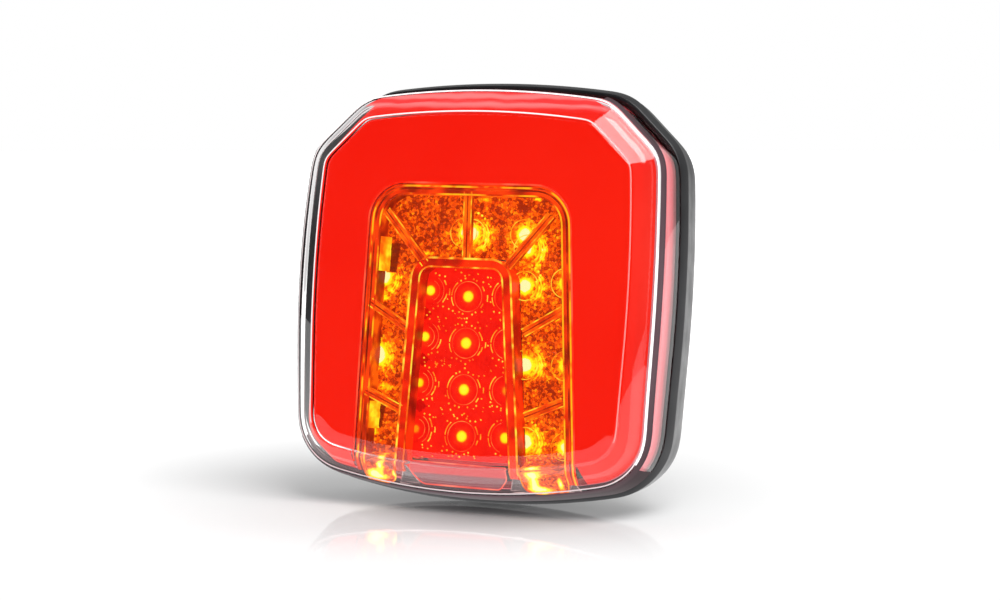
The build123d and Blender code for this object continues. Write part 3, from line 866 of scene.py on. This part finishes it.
def paint(piece, name, value):
    """A per-vertex number, worked out from each vertex's place in millimetres."""
    mesh = piece.data
    layer = mesh.attributes.new(name, "FLOAT", "POINT")
    for vert in mesh.vertices:
        layer.data[vert.index].value = value(vert.co.x / MM, vert.co.z / MM)


class Lamp:
    """A lit point seen in the optics: its place, core size, and how its crescent lies."""

    def __init__(self, x, z, core=1.0, size=1.7, crescent=0.0, turn=0.0, ring=True):
        self.x, self.z, self.core, self.size = x, z, core, size
        self.crescent, self.turn, self.ring = crescent, turn, ring

    def light(self, x, z):
        away = math.hypot(x - self.x, z - self.z)
        if away > 9:
            return 0.0
        value = 1.5 * self.core * math.exp(-(away / self.size) ** 3)
        value += 0.22 * self.core * math.exp(-(away / 5.0) ** 2)
        if self.crescent:
            angle = math.atan2(z - self.z, x - self.x) - self.turn
            facing = max(0.0, math.cos(angle * 0.85)) ** 3
            wobble = math.sin(angle * 13 + self.x) * 0.35 + math.sin(away * 9 + angle * 5) * 0.45
            value += self.crescent * facing * math.exp(-((away - 4.0) / 1.15) ** 2) * (0.75 + wobble)
        return value


AMBER_LAMPS = [Lamp(-2.0, 13.3, 1.0, 1.9, 0.95, -0.15), Lamp(-4.2, 13.5, 0.7, 1.5, 0.0),
               Lamp(11.5, 13.6, 1.0, 1.9, 0.0), Lamp(12.6, 10.0, 0.75, 1.8, 1.0, -0.1),
               Lamp(12.4, 1.4, 1.05, 1.9, 0.9, -0.2), Lamp(13.6, -17.2, 1.1, 2.0, 0.9, 0.0),
               Lamp(14.6, -35.3, 1.1, 2.1, 0.9, 0.0), Lamp(22.6, 2.4, 0.8, 1.7),
               Lamp(23.8, -17.0, 0.75, 1.7), Lamp(24.9, -36.0, 0.9, 1.8),
               Lamp(-24.9, 2.4, 1.15, 2.1, 0.8, -0.6, False),
               Lamp(-25.4, -16.6, 1.2, 2.5, 0.5, -0.3, False), Lamp(-27.0, -34.0, 0.9, 2.2, 0.0, 0, False)]
# Glares: place, half width and half height.
FEET_GLARES = [(-23.4, -44.6, 1.8, 0.9), (-21.2, -42.6, 0.9, 1.6), (-22.2, -45.6, 2.4, 0.6),
               (18.4, -42.2, 1.9, 0.8), (18.6, -44.4, 1.2, 1.8), (20.2, -45.8, 2.6, 0.7),
               (25.2, -44.2, 0.6, 1.3), (-17.6, -44.4, 0.7, 0.9)]
GLARES = [(-25.4, 7.5, 1.0, 3.4), (-26.6, -31.2, 1.0, 3.2), (17.5, -33.0, 0.6, 1.0), (20.6, -5.9, 1.6, 1.0),
          (15.2, -28.9, 2.0, 1.0), (-24.5, -3.0, 2.2, 0.6), (-22.5, -24.2, 2.2, 0.9),
          (-14.0, 8.3, 2.4, 0.6), (1.0, 21.6, 1.4, 0.8), (14.5, 22.0, 1.0, 0.6), (-17.5, -3.0, 1.0, 1.6),
          (-16.6, -10.4, 0.9, 1.6)]


def amber_light(x, z):
    value = 0.34 + sum(lamp.light(x, z) for lamp in AMBER_LAMPS)
    for strength, glares in ((0.75, GLARES), (1.6, FEET_GLARES)):
        for gx, gz, wide, tall in glares:
            value += strength * math.exp(-((x - gx) / wide) ** 2 - ((z - gz) / tall) ** 2)
    return min(value, 1.75)


def amber_clear(x, z):
    """The two dark slots beside the left chambers' lit walls."""
    for cx, cz, half_x, half_z in ((-22.6, 7.0, 1.35, 3.5), (-23.9, -31.0, 1.15, 3.3)):
        if abs(x - cx - 0.12 * (z - cz)) < half_x and abs(z - cz) < half_z:
            return 0.06
    return 1.0


def amber_outline(grow):
    """The arch-shaped amber panel: round the arch, round both feet, and round the brake frame."""
    outer = arch_line(ARCH, grow, ARCH_SHIFT - 0.4, FLOOR_Z)
    inner = arch_line(PORTAL, 0.4, PORTAL_SHIFT, FLOOR_Z)
    loop = outer + list(reversed(inner))
    corners = (0, len(outer) - 1, len(outer), len(loop) - 1)
    return rounded(loop, corners, 2.6)


def make_feet_beads():
    """Bright edges round the rounded feet of the amber panel."""
    loop = resample_loop(amber_outline(-FRAME_WIDTH + 0.3), 0.5)
    high = next(k for k, p in enumerate(loop) if p.y > 0)
    loop = loop[high:] + loop[:high]
    beads, run = [], []
    for p in loop:
        if p.y < BEND_Z + 1.5:
            run.append(p)
        elif run:
            beads.append(tube("bead", on_front(run, 0.05), 0.22, sides=8))
            run = []
    place_beads("amber_feet_beads", beads, "amber_feet_bead")


def make_amber():
    """The faceted amber texture behind the panel, which dips under the feet."""
    shake = random.Random(7)
    heights = {}

    def height(x, z):
        key = (round(x / FACET), round(z / FACET))
        if key not in heights:
            heights[key] = shake.uniform(-0.14, 0.14)
        return OPTIC_Y + heights[key] + bevel_drop(z) - 4.2 * min(1.0, max(0.0, (BEND_Z + 1.5 - z) / 1.5))

    loop = resample_loop(amber_outline(-FRAME_WIDTH), 0.8)
    optics = sheet("amber_optics", loop, height, OPTIC_SPACING, smooth=False)
    place(optics, amber_glow(), ["indicator_lens"])
    paint(optics, "lit", amber_light)
    paint(optics, "clear", amber_clear)


BRAKE_LAMPS = []
for row, row_z in enumerate(BRAKE_ROWS_Z):
    spread = 10.6 + 0.35 * row
    left = PORTAL_SHIFT - spread + 0.7 - 0.4 * min(row, 2)
    BRAKE_LAMPS += [Lamp(PORTAL_SHIFT + 0.1 - 0.01 * row_z, row_z - 0.2, 1.0, 1.25),
                    Lamp(PORTAL_SHIFT + 0.1 + spread, row_z + 0.1, 0.8 if row == 3 else 0.35, 1.25),
                    Lamp(left, row_z + 0.9, (0.95, 0.9, 0.6, 0.35)[row], 1.1)]


def brake_light(x, z):
    value = 0.33
    for lamp in BRAKE_LAMPS:
        away = math.hypot(x - lamp.x, z - lamp.z)
        if away < 7:
            value += 0.95 * lamp.core * math.exp(-(away / lamp.size) ** 5)
            value += 0.16 * lamp.core * math.exp(-(away / 2.4) ** 2)
            value -= 0.05 * math.exp(-((away - 3.0) / 0.5) ** 2)
    return value


def brake_clear(x, z):
    for row_z in BRAKE_ROWS_Z[:3]:
        cx, cz = PORTAL_SHIFT - 11.0, row_z - 4.6
        if abs(x - cx) * 0.9 + abs(z - cz) < 1.7:
            return 0.45
    return 1.0


def make_brake():
    """The brake panel's lit texture."""
    shake = random.Random(11)
    loop = resample_path(arch_line(PORTAL, -PORTAL_WIDTH + 0.6, PORTAL_SHIFT, BEND_Z + 1.0), 0.8)
    optics = sheet("brake_optics", loop, lambda x, z: OPTIC_Y + shake.uniform(-0.03, 0.03), OPTIC_SPACING)
    place(optics, brake_glow(), ["brake_lens"])
    paint(optics, "lit", brake_light)
    paint(optics, "clear", brake_clear)


def on_front(points, lift=0.0):
    """Flat points raised to the panels' front, which follows the dome and turns down the bevel."""
    return [(p.x, PANEL_Y + 0.15 + dome(p.x, p.y) + bevel_drop(p.y) - lift, p.y) for p in points]


def joined(name, pieces):
    """Several pieces as one object."""
    bm = bmesh.new()
    for piece in pieces:
        bm.from_mesh(piece.data)
        old = piece.data
        bpy.data.objects.remove(piece)
        bpy.data.meshes.remove(old)
    mesh = bpy.data.meshes.new(name)
    bm.to_mesh(mesh)
    bm.free()
    for poly in mesh.polygons:
        poly.use_smooth = True
    whole = bpy.data.objects.new(name, mesh)
    bpy.context.scene.collection.objects.link(whole)
    return whole


def place_beads(name, pieces, glow, replaces=(), rightward=0.0):
    """Several beads or strips as one glowing piece."""
    place(joined(name, pieces), bead_glow(glow, rightward), replaces)


def strip(name, path_a, path_b):
    """A ruled surface between two paths of equal length."""
    return finish_mesh(name, path_a + path_b, quads(2, len(path_a), closed=False))


def border(name, shape, shift, outer, inner, foot):
    """The flat front of a frame, between two offsets of its arch."""
    edges = [on_front(resample(arch_line(shape, grow, shift, foot), 60, False)) for grow in (outer, inner)]
    return strip(name, *edges)


def bead(shape, shift, grow, foot, count, radius, lift=0.05, sides=8, name="bead"):
    """A bead along an arch line, on the panels' front."""
    path = on_front(resample(arch_line(shape, grow, shift, foot), count, False), lift)
    return tube(name, path, radius, sides=sides)


def arch_wall(name, shape, shift, grow, foot, back_y):
    """The wall that stands behind an arch line, back to the optics."""
    path = resample(arch_line(shape, grow, shift, foot), 60, False)
    front = on_front(path)
    back = [(p[0], back_y + bevel_drop(p[2]), p[2]) for p in front]
    return strip(name, front, back)


def make_amber_frame():
    """The border round the amber panel: lip gap, outer bead, dark groove, inner bead, inner wall."""
    face = border("amber_frame_face", ARCH, ARCH_SHIFT, -0.25, -FRAME_WIDTH, BEAD_FOOT)
    place(face, bead_glow("amber_frame_face"))
    beads = [bead(ARCH, ARCH_SHIFT, grow, BEAD_FOOT, 150, radius) for grow,
             radius in ((-0.85, 0.22), (-FRAME_WIDTH, 0.2))]
    place_beads("amber_frame_beads", beads, "amber_bead", rightward=0.14)
    groove = bead(ARCH, ARCH_SHIFT, -1.5, BEAD_FOOT, 120, 0.2, 0.0, 6, "amber_frame_groove")
    place(groove, bead_glow("dark_groove"))
    wall = arch_wall("amber_frame_wall", ARCH, ARCH_SHIFT, -FRAME_WIDTH - 0.1, BEAD_FOOT, OPTIC_Y + 0.3)
    place(wall, bead_glow("amber_wall"))


def make_lit_walls():
    """Two stretches of the arch's left wall that shine, beside the dark slots."""
    pieces = []
    for low, high in ((3.4, 12.0), (-34.6, -27.4)):
        path = resample(arch_line(ARCH, -FRAME_WIDTH - 0.35, ARCH_SHIFT, BEAD_FOOT), 400, False)
        front = on_front([p for p in path if p.x < 0 and low < p.y < high], -0.3)
        pieces.append(strip("wall", front, [(p[0] + 0.9, OPTIC_Y + 0.1, p[2]) for p in front]))
    place_beads("amber_lit_walls", pieces, "lit_wall")


def make_portal():
    """The frame round the brake panel: face, two beads and the walls behind them."""
    face = border("brake_frame_face", PORTAL, PORTAL_SHIFT, 0.0, -PORTAL_WIDTH, PORTAL_FOOT)
    place(face, bead_glow("brake_frame_face"), ["brake_frame"])
    beads = [bead(PORTAL, PORTAL_SHIFT, grow, PORTAL_FOOT, 130, radius) for grow,
             radius in ((0.0, 0.25), (-PORTAL_WIDTH, 0.2))]
    place_beads("brake_frame_beads", beads, "portal_bead")
    walls = [arch_wall("wall", PORTAL, PORTAL_SHIFT, grow, PORTAL_FOOT, OPTIC_Y + 0.3)
             for grow in (0.1, -PORTAL_WIDTH - 0.1)]
    place_beads("brake_frame_walls", walls, "portal_wall")


def make_ribs():
    """The clear dividers of the amber panel: two bright edges, a face and a dark seam."""
    lines = []
    for foot, top in RIBS:
        for sign in ((1,) if foot[0] == 0 else (1, -1)):
            a = Vector((shifted(sign * foot[0], foot[1], RIB_SHIFT), foot[1]))
            b = Vector((shifted(sign * top[0], top[1], RIB_SHIFT), top[1]))
            lines.append((a, b))
    faces, edges, seams, sides = [], [], [], []
    for a, b in lines:
        run = (b - a).normalized()
        out = Vector((run.y, -run.x))
        path = resample_path([a, b], 0.7)
        left = [p + out * RIB_HALF for p in path]
        right = [p - out * RIB_HALF for p in path]
        faces.append(strip("face", on_front(left, -0.1), on_front(right, -0.1)))
        for side in (left, right):
            front = on_front(side)
            edges.append(tube("edge", front, 0.15, sides=6))
            sides.append(strip("side", front, [(p[0], p[1] + RIB_DEPTH, p[2]) for p in front]))
        seams.append(tube("seam", on_front(path), 0.16, sides=6))
    place_beads("amber_rib_faces", faces, "rib_face", ["indicator_dividers"])
    place_beads("amber_rib_edges", edges, "rib_edge")
    place_beads("amber_rib_seams", seams, "rib_seam")
    place_beads("amber_rib_sides", sides, "rib_side")


def arc(x, z, radius, start, stop, thick, y):
    count = max(3, round(abs(stop - start) * radius / 0.45))
    path = []
    for k in range(count + 1):
        turn = start + (stop - start) * k / count
        path.append((x + radius * math.cos(turn), y, z + radius * math.sin(turn)))
    return tube("arc", path, thick, sides=6)


def make_amber_rings():
    """Moulded rings round each amber light, and the short bright arcs beside them."""
    thin, bright = [], []
    y = OPTIC_Y - 0.3
    for lamp in AMBER_LAMPS:
        if not lamp.ring:
            continue
        thin.append(arc(lamp.x, lamp.z, 3.45, 0, 2 * math.pi, 0.11, y))
        if lamp.crescent:
            turn = lamp.turn
            bright.append(arc(lamp.x, lamp.z, 3.2, turn - 0.8, turn + 0.6, 0.26, y))
            bright.append(arc(lamp.x, lamp.z, 4.25, turn - 0.65, turn + 0.75, 0.16, y))
            for k in range(4):
                spot = turn + 0.75 + 0.22 * k
                bright.append(arc(lamp.x, lamp.z, 4.7 + 0.15 * k, spot, spot + 0.08, 0.26, y))
    place_beads("amber_light_rings", thin, "amber_ring")
    place_beads("amber_light_arcs", bright, "amber_arc")


def make_brake_rings():
    """Moulded rings round each brake light, with beads and dashes that sparkle."""
    shake = random.Random(3)
    rings_made, dots = [], []
    y = OPTIC_Y - 0.15
    low_x, high_x = PORTAL_SHIFT - 11.6, PORTAL_SHIFT + 11.2
    for index, lamp in enumerate(BRAKE_LAMPS):
        turns = [(0, 2 * math.pi)] if index % 3 == 0 else ([(1.9, 4.4)] if index % 3 == 1 else [(-1.0, 1.0)])
        for start, stop in turns:
            rings_made.append(arc(lamp.x, lamp.z, 3.6, start, stop, 0.07, y))
        if index % 3 != 2:
            dots.append(arc(lamp.x, lamp.z, 4.3, 2.3, 3.1, 0.13, y))
            dots.append(arc(lamp.x, lamp.z, 4.3, 3.2, 3.7, 0.11, y))
        else:
            rings_made.append(arc(lamp.x, lamp.z, 2.5, -1.2, 1.2, 0.06, y))
        for k in range(24):
            turn = k * math.pi / 12 + shake.uniform(-0.05, 0.05)
            far = 4.35 + (0.75 if k % 3 == 0 else 0.0) + shake.uniform(-0.1, 0.1)
            x, z = lamp.x + far * math.cos(turn), lamp.z + far * math.sin(turn)
            sideways = abs(math.cos(turn)) > 0.8
            if not low_x - LEAN * z < x < high_x or 2.2 < turn < 3.8 or shake.random() < 0.12:
                continue
            length = 0.13 if sideways else 0.03
            dots.append(arc(lamp.x, lamp.z, far, turn - length, turn + length, 0.15 if sideways else 0.2, y))
    for row_z in BRAKE_ROWS_Z:
        for k in range(44):
            x = shake.uniform(low_x, high_x)
            z = row_z + shake.uniform(-6.5, 6.0)
            if min(math.hypot(x - lamp.x, z - lamp.z) for lamp in BRAKE_LAMPS) > 4.9:
                dots.append(arc(x, z, 0.15, 0, 2.0, shake.uniform(0.07, 0.2), y))
    place_beads("brake_light_rings", rings_made, "brake_ring")
    place_beads("brake_light_beads", dots, "brake_sparkle")


def make_brake_foot():
    """The brake panel's unlit foot on the bevel, with its lower corners cut off; it glows in bands as a
    painted reflection, and its edge glows as a painted highlight.
    """
    half_top, half_low = 12.5, 10.0
    outline = []
    for x, z in ((-half_top, BEND_Z + 0.6), (-half_top + 0.2, BEND_Z - 1.6), (-half_low, FLOOR_Z + 0.5),
                 (half_low, FLOOR_Z + 0.3), (half_top, BEND_Z - 2.0), (half_top, BEND_Z + 0.2)):
        outline.append(Vector((shifted(x, z, PORTAL_SHIFT + 0.3), z)))
    outline = rounded(list(reversed(outline)), (1, 2, 3, 4), 0.9)
    foot = sheet("brake_panel_foot", resample_loop(outline, 0.8), lambda x, z: PANEL_Y + 0.5 + dome(x, z)
                 + bevel_drop(z), 0.7)
    m = glowing("brake_foot_painted_reflection", (0.06, 0.004, 0.004), 0.3, 0.1)
    value = m.plus(m.attribute("lit"), m.times(m.noise(300.0), 0.15))
    m.link(m.ramp(value, (0.1, (0.24, 0.08, 0.09)), (0.5, (0.34, 0.06, 0.07)), (0.9, (0.72, 0.05, 0.05))),
           "Emission Color")
    place(foot, m.material)
    rim = on_front(outline[4:] + outline[:4], 0.1)
    rim = tube("brake_foot_painted_edge_highlight", [tuple(p) for p in rim], 0.16, closed=True, sides=8)
    place(rim, bead_glow("brake_foot_painted_edge_highlight"))

    # Bands of painted reflection: bright high up, dim in the middle, middling at the bottom.
    def lit(x, z):
        down = (BEND_Z + 0.6 - z) / (BEND_Z + 0.6 - FLOOR_Z)
        return 0.85 if down < 0.48 else (0.6 if down > 0.86 else 0.12)

    paint(foot, "lit", lit)


def make_bezel_feet():
    """The grey bezel's three small tips between the panels' feet, glowing pinkish grey as painted light,
    with a pale outline that glows as a painted highlight.
    """
    tips, outlines = [], []
    for x, z, left, right, base in ((-14.6, -41.8, 2.3, 2.8, -46.5), (14.0, -41.7, 2.2, 3.0, -46.7),
                                    (28.2, -42.6, 1.6, 1.8, -45.9)):
        shape = [Vector((x, z)), Vector((x - 0.5 * left, z - 2.2)), Vector((x - left, base)),
                 Vector((x + right, base)), Vector((x + 0.5 * right, z - 2.2))]
        shape = resample(rounded(shape, (0,), 0.5), 40)
        if sum(a.cross(b) for a, b in zip(shape, shape[1:] + shape[:1])) < 0:
            shape.reverse()
        tips.append(sheet("tip", shape, lambda x, z: PANEL_Y + 1.1 + dome(x, z) + bevel_drop(z), 0.5))
        path = [(p.x, PANEL_Y + 1.0 + dome(p.x, p.y) + bevel_drop(p.y), p.y) for p in shape]
        outlines.append(tube("outline", path, 0.14, closed=True, sides=8))
    tips = joined("bezel_tips", tips)
    m = Nodes("grey_bezel_painted_glow")
    m.set(Roughness=0.4, Emission_Strength=1.0, Specular_IOR_Level=0.3)
    m.link(m.ramp(m.noise(300.0, 3.0), (0.3, (0.03, 0.02, 0.02)), (0.7, (0.08, 0.06, 0.06))), "Base Color")
    # Painted light: the unlit grey tips glow pinkish grey.
    m.link(m.ramp(m.noise(260.0, 3.0), (0.3, (0.055, 0.035, 0.036)), (0.7, (0.16, 0.115, 0.115))),
           "Emission Color")
    place(tips, m.material, ["inner_bezel"])
    place_beads("bezel_tip_edges", outlines, "bezel_tip_painted_highlight")


# ---- housing and the rest of the CAD nodes
def flange_grow(normal):
    """How far the flange stands outside the rim: less at the top than at the sides."""
    return 3.0 + 0.15 * top_share(normal) - 0.25 * smooth_step(-normal.y, 0.3, 0.9)


def flange_ring(grow, depth):
    return varied(lambda n: flange_grow(n) + grow, lambda n: depth)


def make_housing():
    """The black tub: rolled front flange, parting step, drafted skirt and rounded back."""
    profile = [(-0.95, FLANGE_Y + 0.03), (-0.84, FLANGE_Y + 0.14), (-0.1, -12.9), (-0.02, -12.7),
               (0.0, -12.45), (-0.04, -12.2), (-0.16, -12.0), (-0.36, -9.4), (-0.72, -6.6), (-1.1, -4.6),
               (-1.5, -3.4), (-2.0, -2.75), (-2.7, BACK_Y)]
    loops = [varied(lambda n: foot_grow(n) + 0.03, lambda n: FLANGE_Y)]
    loops += [flange_ring(grow, depth) for grow, depth in profile]
    edge = loops[-1]
    loops += [[(p[0] * s, BACK_Y, p[2] * s) for p in edge] for s in (0.86, 0.6, 0.3)]
    back = len(loops) - 1
    floor_y = BACK_Y - TUB_FLOOR
    loops += [[(p[0] * s, floor_y, p[2] * s) for p in edge] for s in (0.3, 0.6, 0.86)]
    loops += [flange_ring(-2.6, floor_y), flange_ring(-2.4, floor_y - 1.0), flange_ring(-1.3, -10.5)]
    loops.append(varied(lambda n: foot_grow(n) + 0.02, lambda n: FOOT_Y + 1.5))
    count = LOOP_POINTS
    faces = quads(len(loops), count, wrap=True)
    faces[back * count:(back + 1) * count] = [tuple(range(ring * count, (ring + 1) * count))
                                              for ring in (back, back + 1)]
    housing = finish_mesh("housing_tub", [p for loop in loops for p in loop], faces)
    place(housing, black_plastic(), ["rear_housing"])


def make_threads():
    """The rolled thread on both mounting studs, as a fine helix that ends at their tips."""
    shafts = [v.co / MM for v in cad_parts["mounting_studs"].data.vertices if v.co.y / MM > THREAD_START]
    tip = max(p.y for p in shafts)
    threads = []
    for sign in (-1, 1):
        own = [p for p in shafts if p.x * sign > 0]
        centre = (min(p.x for p in own) + max(p.x for p in own)) / 2
        radius = (max(p.x for p in own) - min(p.x for p in own)) / 2
        path = []
        turns = (tip - 0.6 - THREAD_START) / THREAD_PITCH
        for k in range(int(turns * 24)):
            turn = 2 * math.pi * k / 24
            path.append((centre + radius * math.cos(turn), THREAD_START + THREAD_PITCH * k / 24,
                         radius * math.sin(turn)))
        threads.append(helix("thread", path, centre))
    threads = joined("stud_threads", threads)
    place(threads, metal("thread_steel", (0.42, 0.42, 0.40), (0.74, 0.73, 0.69), 0.25, 0.45))


def helix(name, path, centre):
    """A ridge of triangular section that follows a helix round a shaft."""
    loops = []
    for x, y, z in path:
        out = Vector((x - centre, 0, z)).normalized()
        loops.append([(x + out.x * rise, y + along, z + out.z * rise) for rise,
                      along in ((-0.12, -0.36), (0.03, -0.08), (0.03, 0.08), (-0.12, 0.36))])
    return rings(name, loops, close_ends=True)


def metal(name, dark, light, rough_low, rough_high, grain=900.0):
    m = Nodes(name)
    m.set(Metallic=1.0)
    m.link(m.ramp(m.noise(140.0, 4.0), (0.3, dark), (0.75, light)), "Base Color")
    m.link(m.ramp(m.noise(500.0, 4.0), (0.3, grey(rough_low)), (0.7, grey(rough_high))), "Roughness")
    m.bump(m.noise(grain, 3.0), 0.2, 0.00005)
    return m.material


def board_green():
    """Solder mask with a hint of tracks under it."""
    m = Nodes("green_board")
    tracks = m.voronoi(260.0, "DISTANCE_TO_EDGE", "Distance", 0.3)
    tone = m.ramp(tracks, (0.02, (0.035, 0.20, 0.07)), (0.06, (0.012, 0.085, 0.03)))
    m.link(m.mix(m.noise(50.0, 3.0), tone, (0.02, 0.12, 0.045)), "Base Color")
    m.set(Roughness=0.32)
    m.bump(tracks, 0.2, 0.00004)
    return m.material


def phosphor():
    """Yellowish phosphor window of a light chip, finely mottled."""
    m = Nodes("led_phosphor")
    m.link(m.ramp(m.noise(900.0, 3.0), (0.3, (0.80, 0.62, 0.12)), (0.7, (0.95, 0.86, 0.45))), "Base Color")
    m.set(Roughness=0.4)
    return m.material


def dress_parts():
    """Materials for the CAD nodes that stay."""
    looks = (
        (metal("zinc_steel", (0.50, 0.50, 0.47), (0.80, 0.79, 0.74), 0.22, 0.42),
         "mounting_studs", "board_screws"),
        (metal("mirror_coating", (0.78, 0.78, 0.80), (0.92, 0.92, 0.94), 0.05, 0.14, 400.0),
         "brake_reflector", "indicator_reflector"),
        (metal("can_aluminium", (0.55, 0.55, 0.57), (0.82, 0.82, 0.84), 0.25, 0.40), "surge_capacitors"),
        (metal("solder_tin", (0.55, 0.55, 0.56), (0.85, 0.85, 0.86), 0.20, 0.40), "wire_pads"),
        (plastic("chip_epoxy", (0.012, 0.012, 0.013), (0.035, 0.035, 0.038), 0.5, 0.7),
         "resistors", "driver_chips", "protection_diodes"),
        (plastic("led_body", (0.72, 0.72, 0.68), (0.88, 0.88, 0.84), 0.35, 0.5),
         "brake_leds", "indicator_leds", "tail_leds"),
        (clear_plastic("moulded_optic_plastic", (0.96, 0.97, 0.98), 0.06),
         "brake_collimators", "indicator_collimators", "tail_light_guide"),
        (plastic("white_reflector", (0.74, 0.74, 0.73), (0.88, 0.88, 0.87), 0.45, 0.65), "tail_reflector"),
        (plastic("seal_bead", (0.020, 0.020, 0.022), (0.045, 0.045, 0.050), 0.55, 0.75, 1500.0, 0.3),
         "lens_seal"),
        (plastic("potting_resin", (0.030, 0.026, 0.018), (0.075, 0.065, 0.045), 0.12, 0.3, 300.0, 0.3),
         "cable_potting"),
        (phosphor(), "led_resin_drops"),
        (board_green(), "circuit_board"),
        (rubber("grommet_rubber"), "cable_grommet"),
        (rubber("black_rubber"), "rear_gasket"))
    for material, *nodes in looks:
        for node in nodes:
            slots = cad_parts[node].data.materials
            for index in range(len(slots)):
                slots[index] = material


bpy.context.scene.view_settings.view_transform = "Standard"
make_floor(make_camera())
make_world()
make_light()
make_lens()
make_rim()
make_front_edge()
make_bevel_bands()
make_tail_shell()
make_amber()
make_feet_beads()
make_brake()
make_amber_frame()
make_lit_walls()
make_portal()
make_ribs()
make_amber_rings()
make_brake_rings()
make_brake_foot()
make_bezel_feet()
make_housing()
make_threads()
dress_parts()
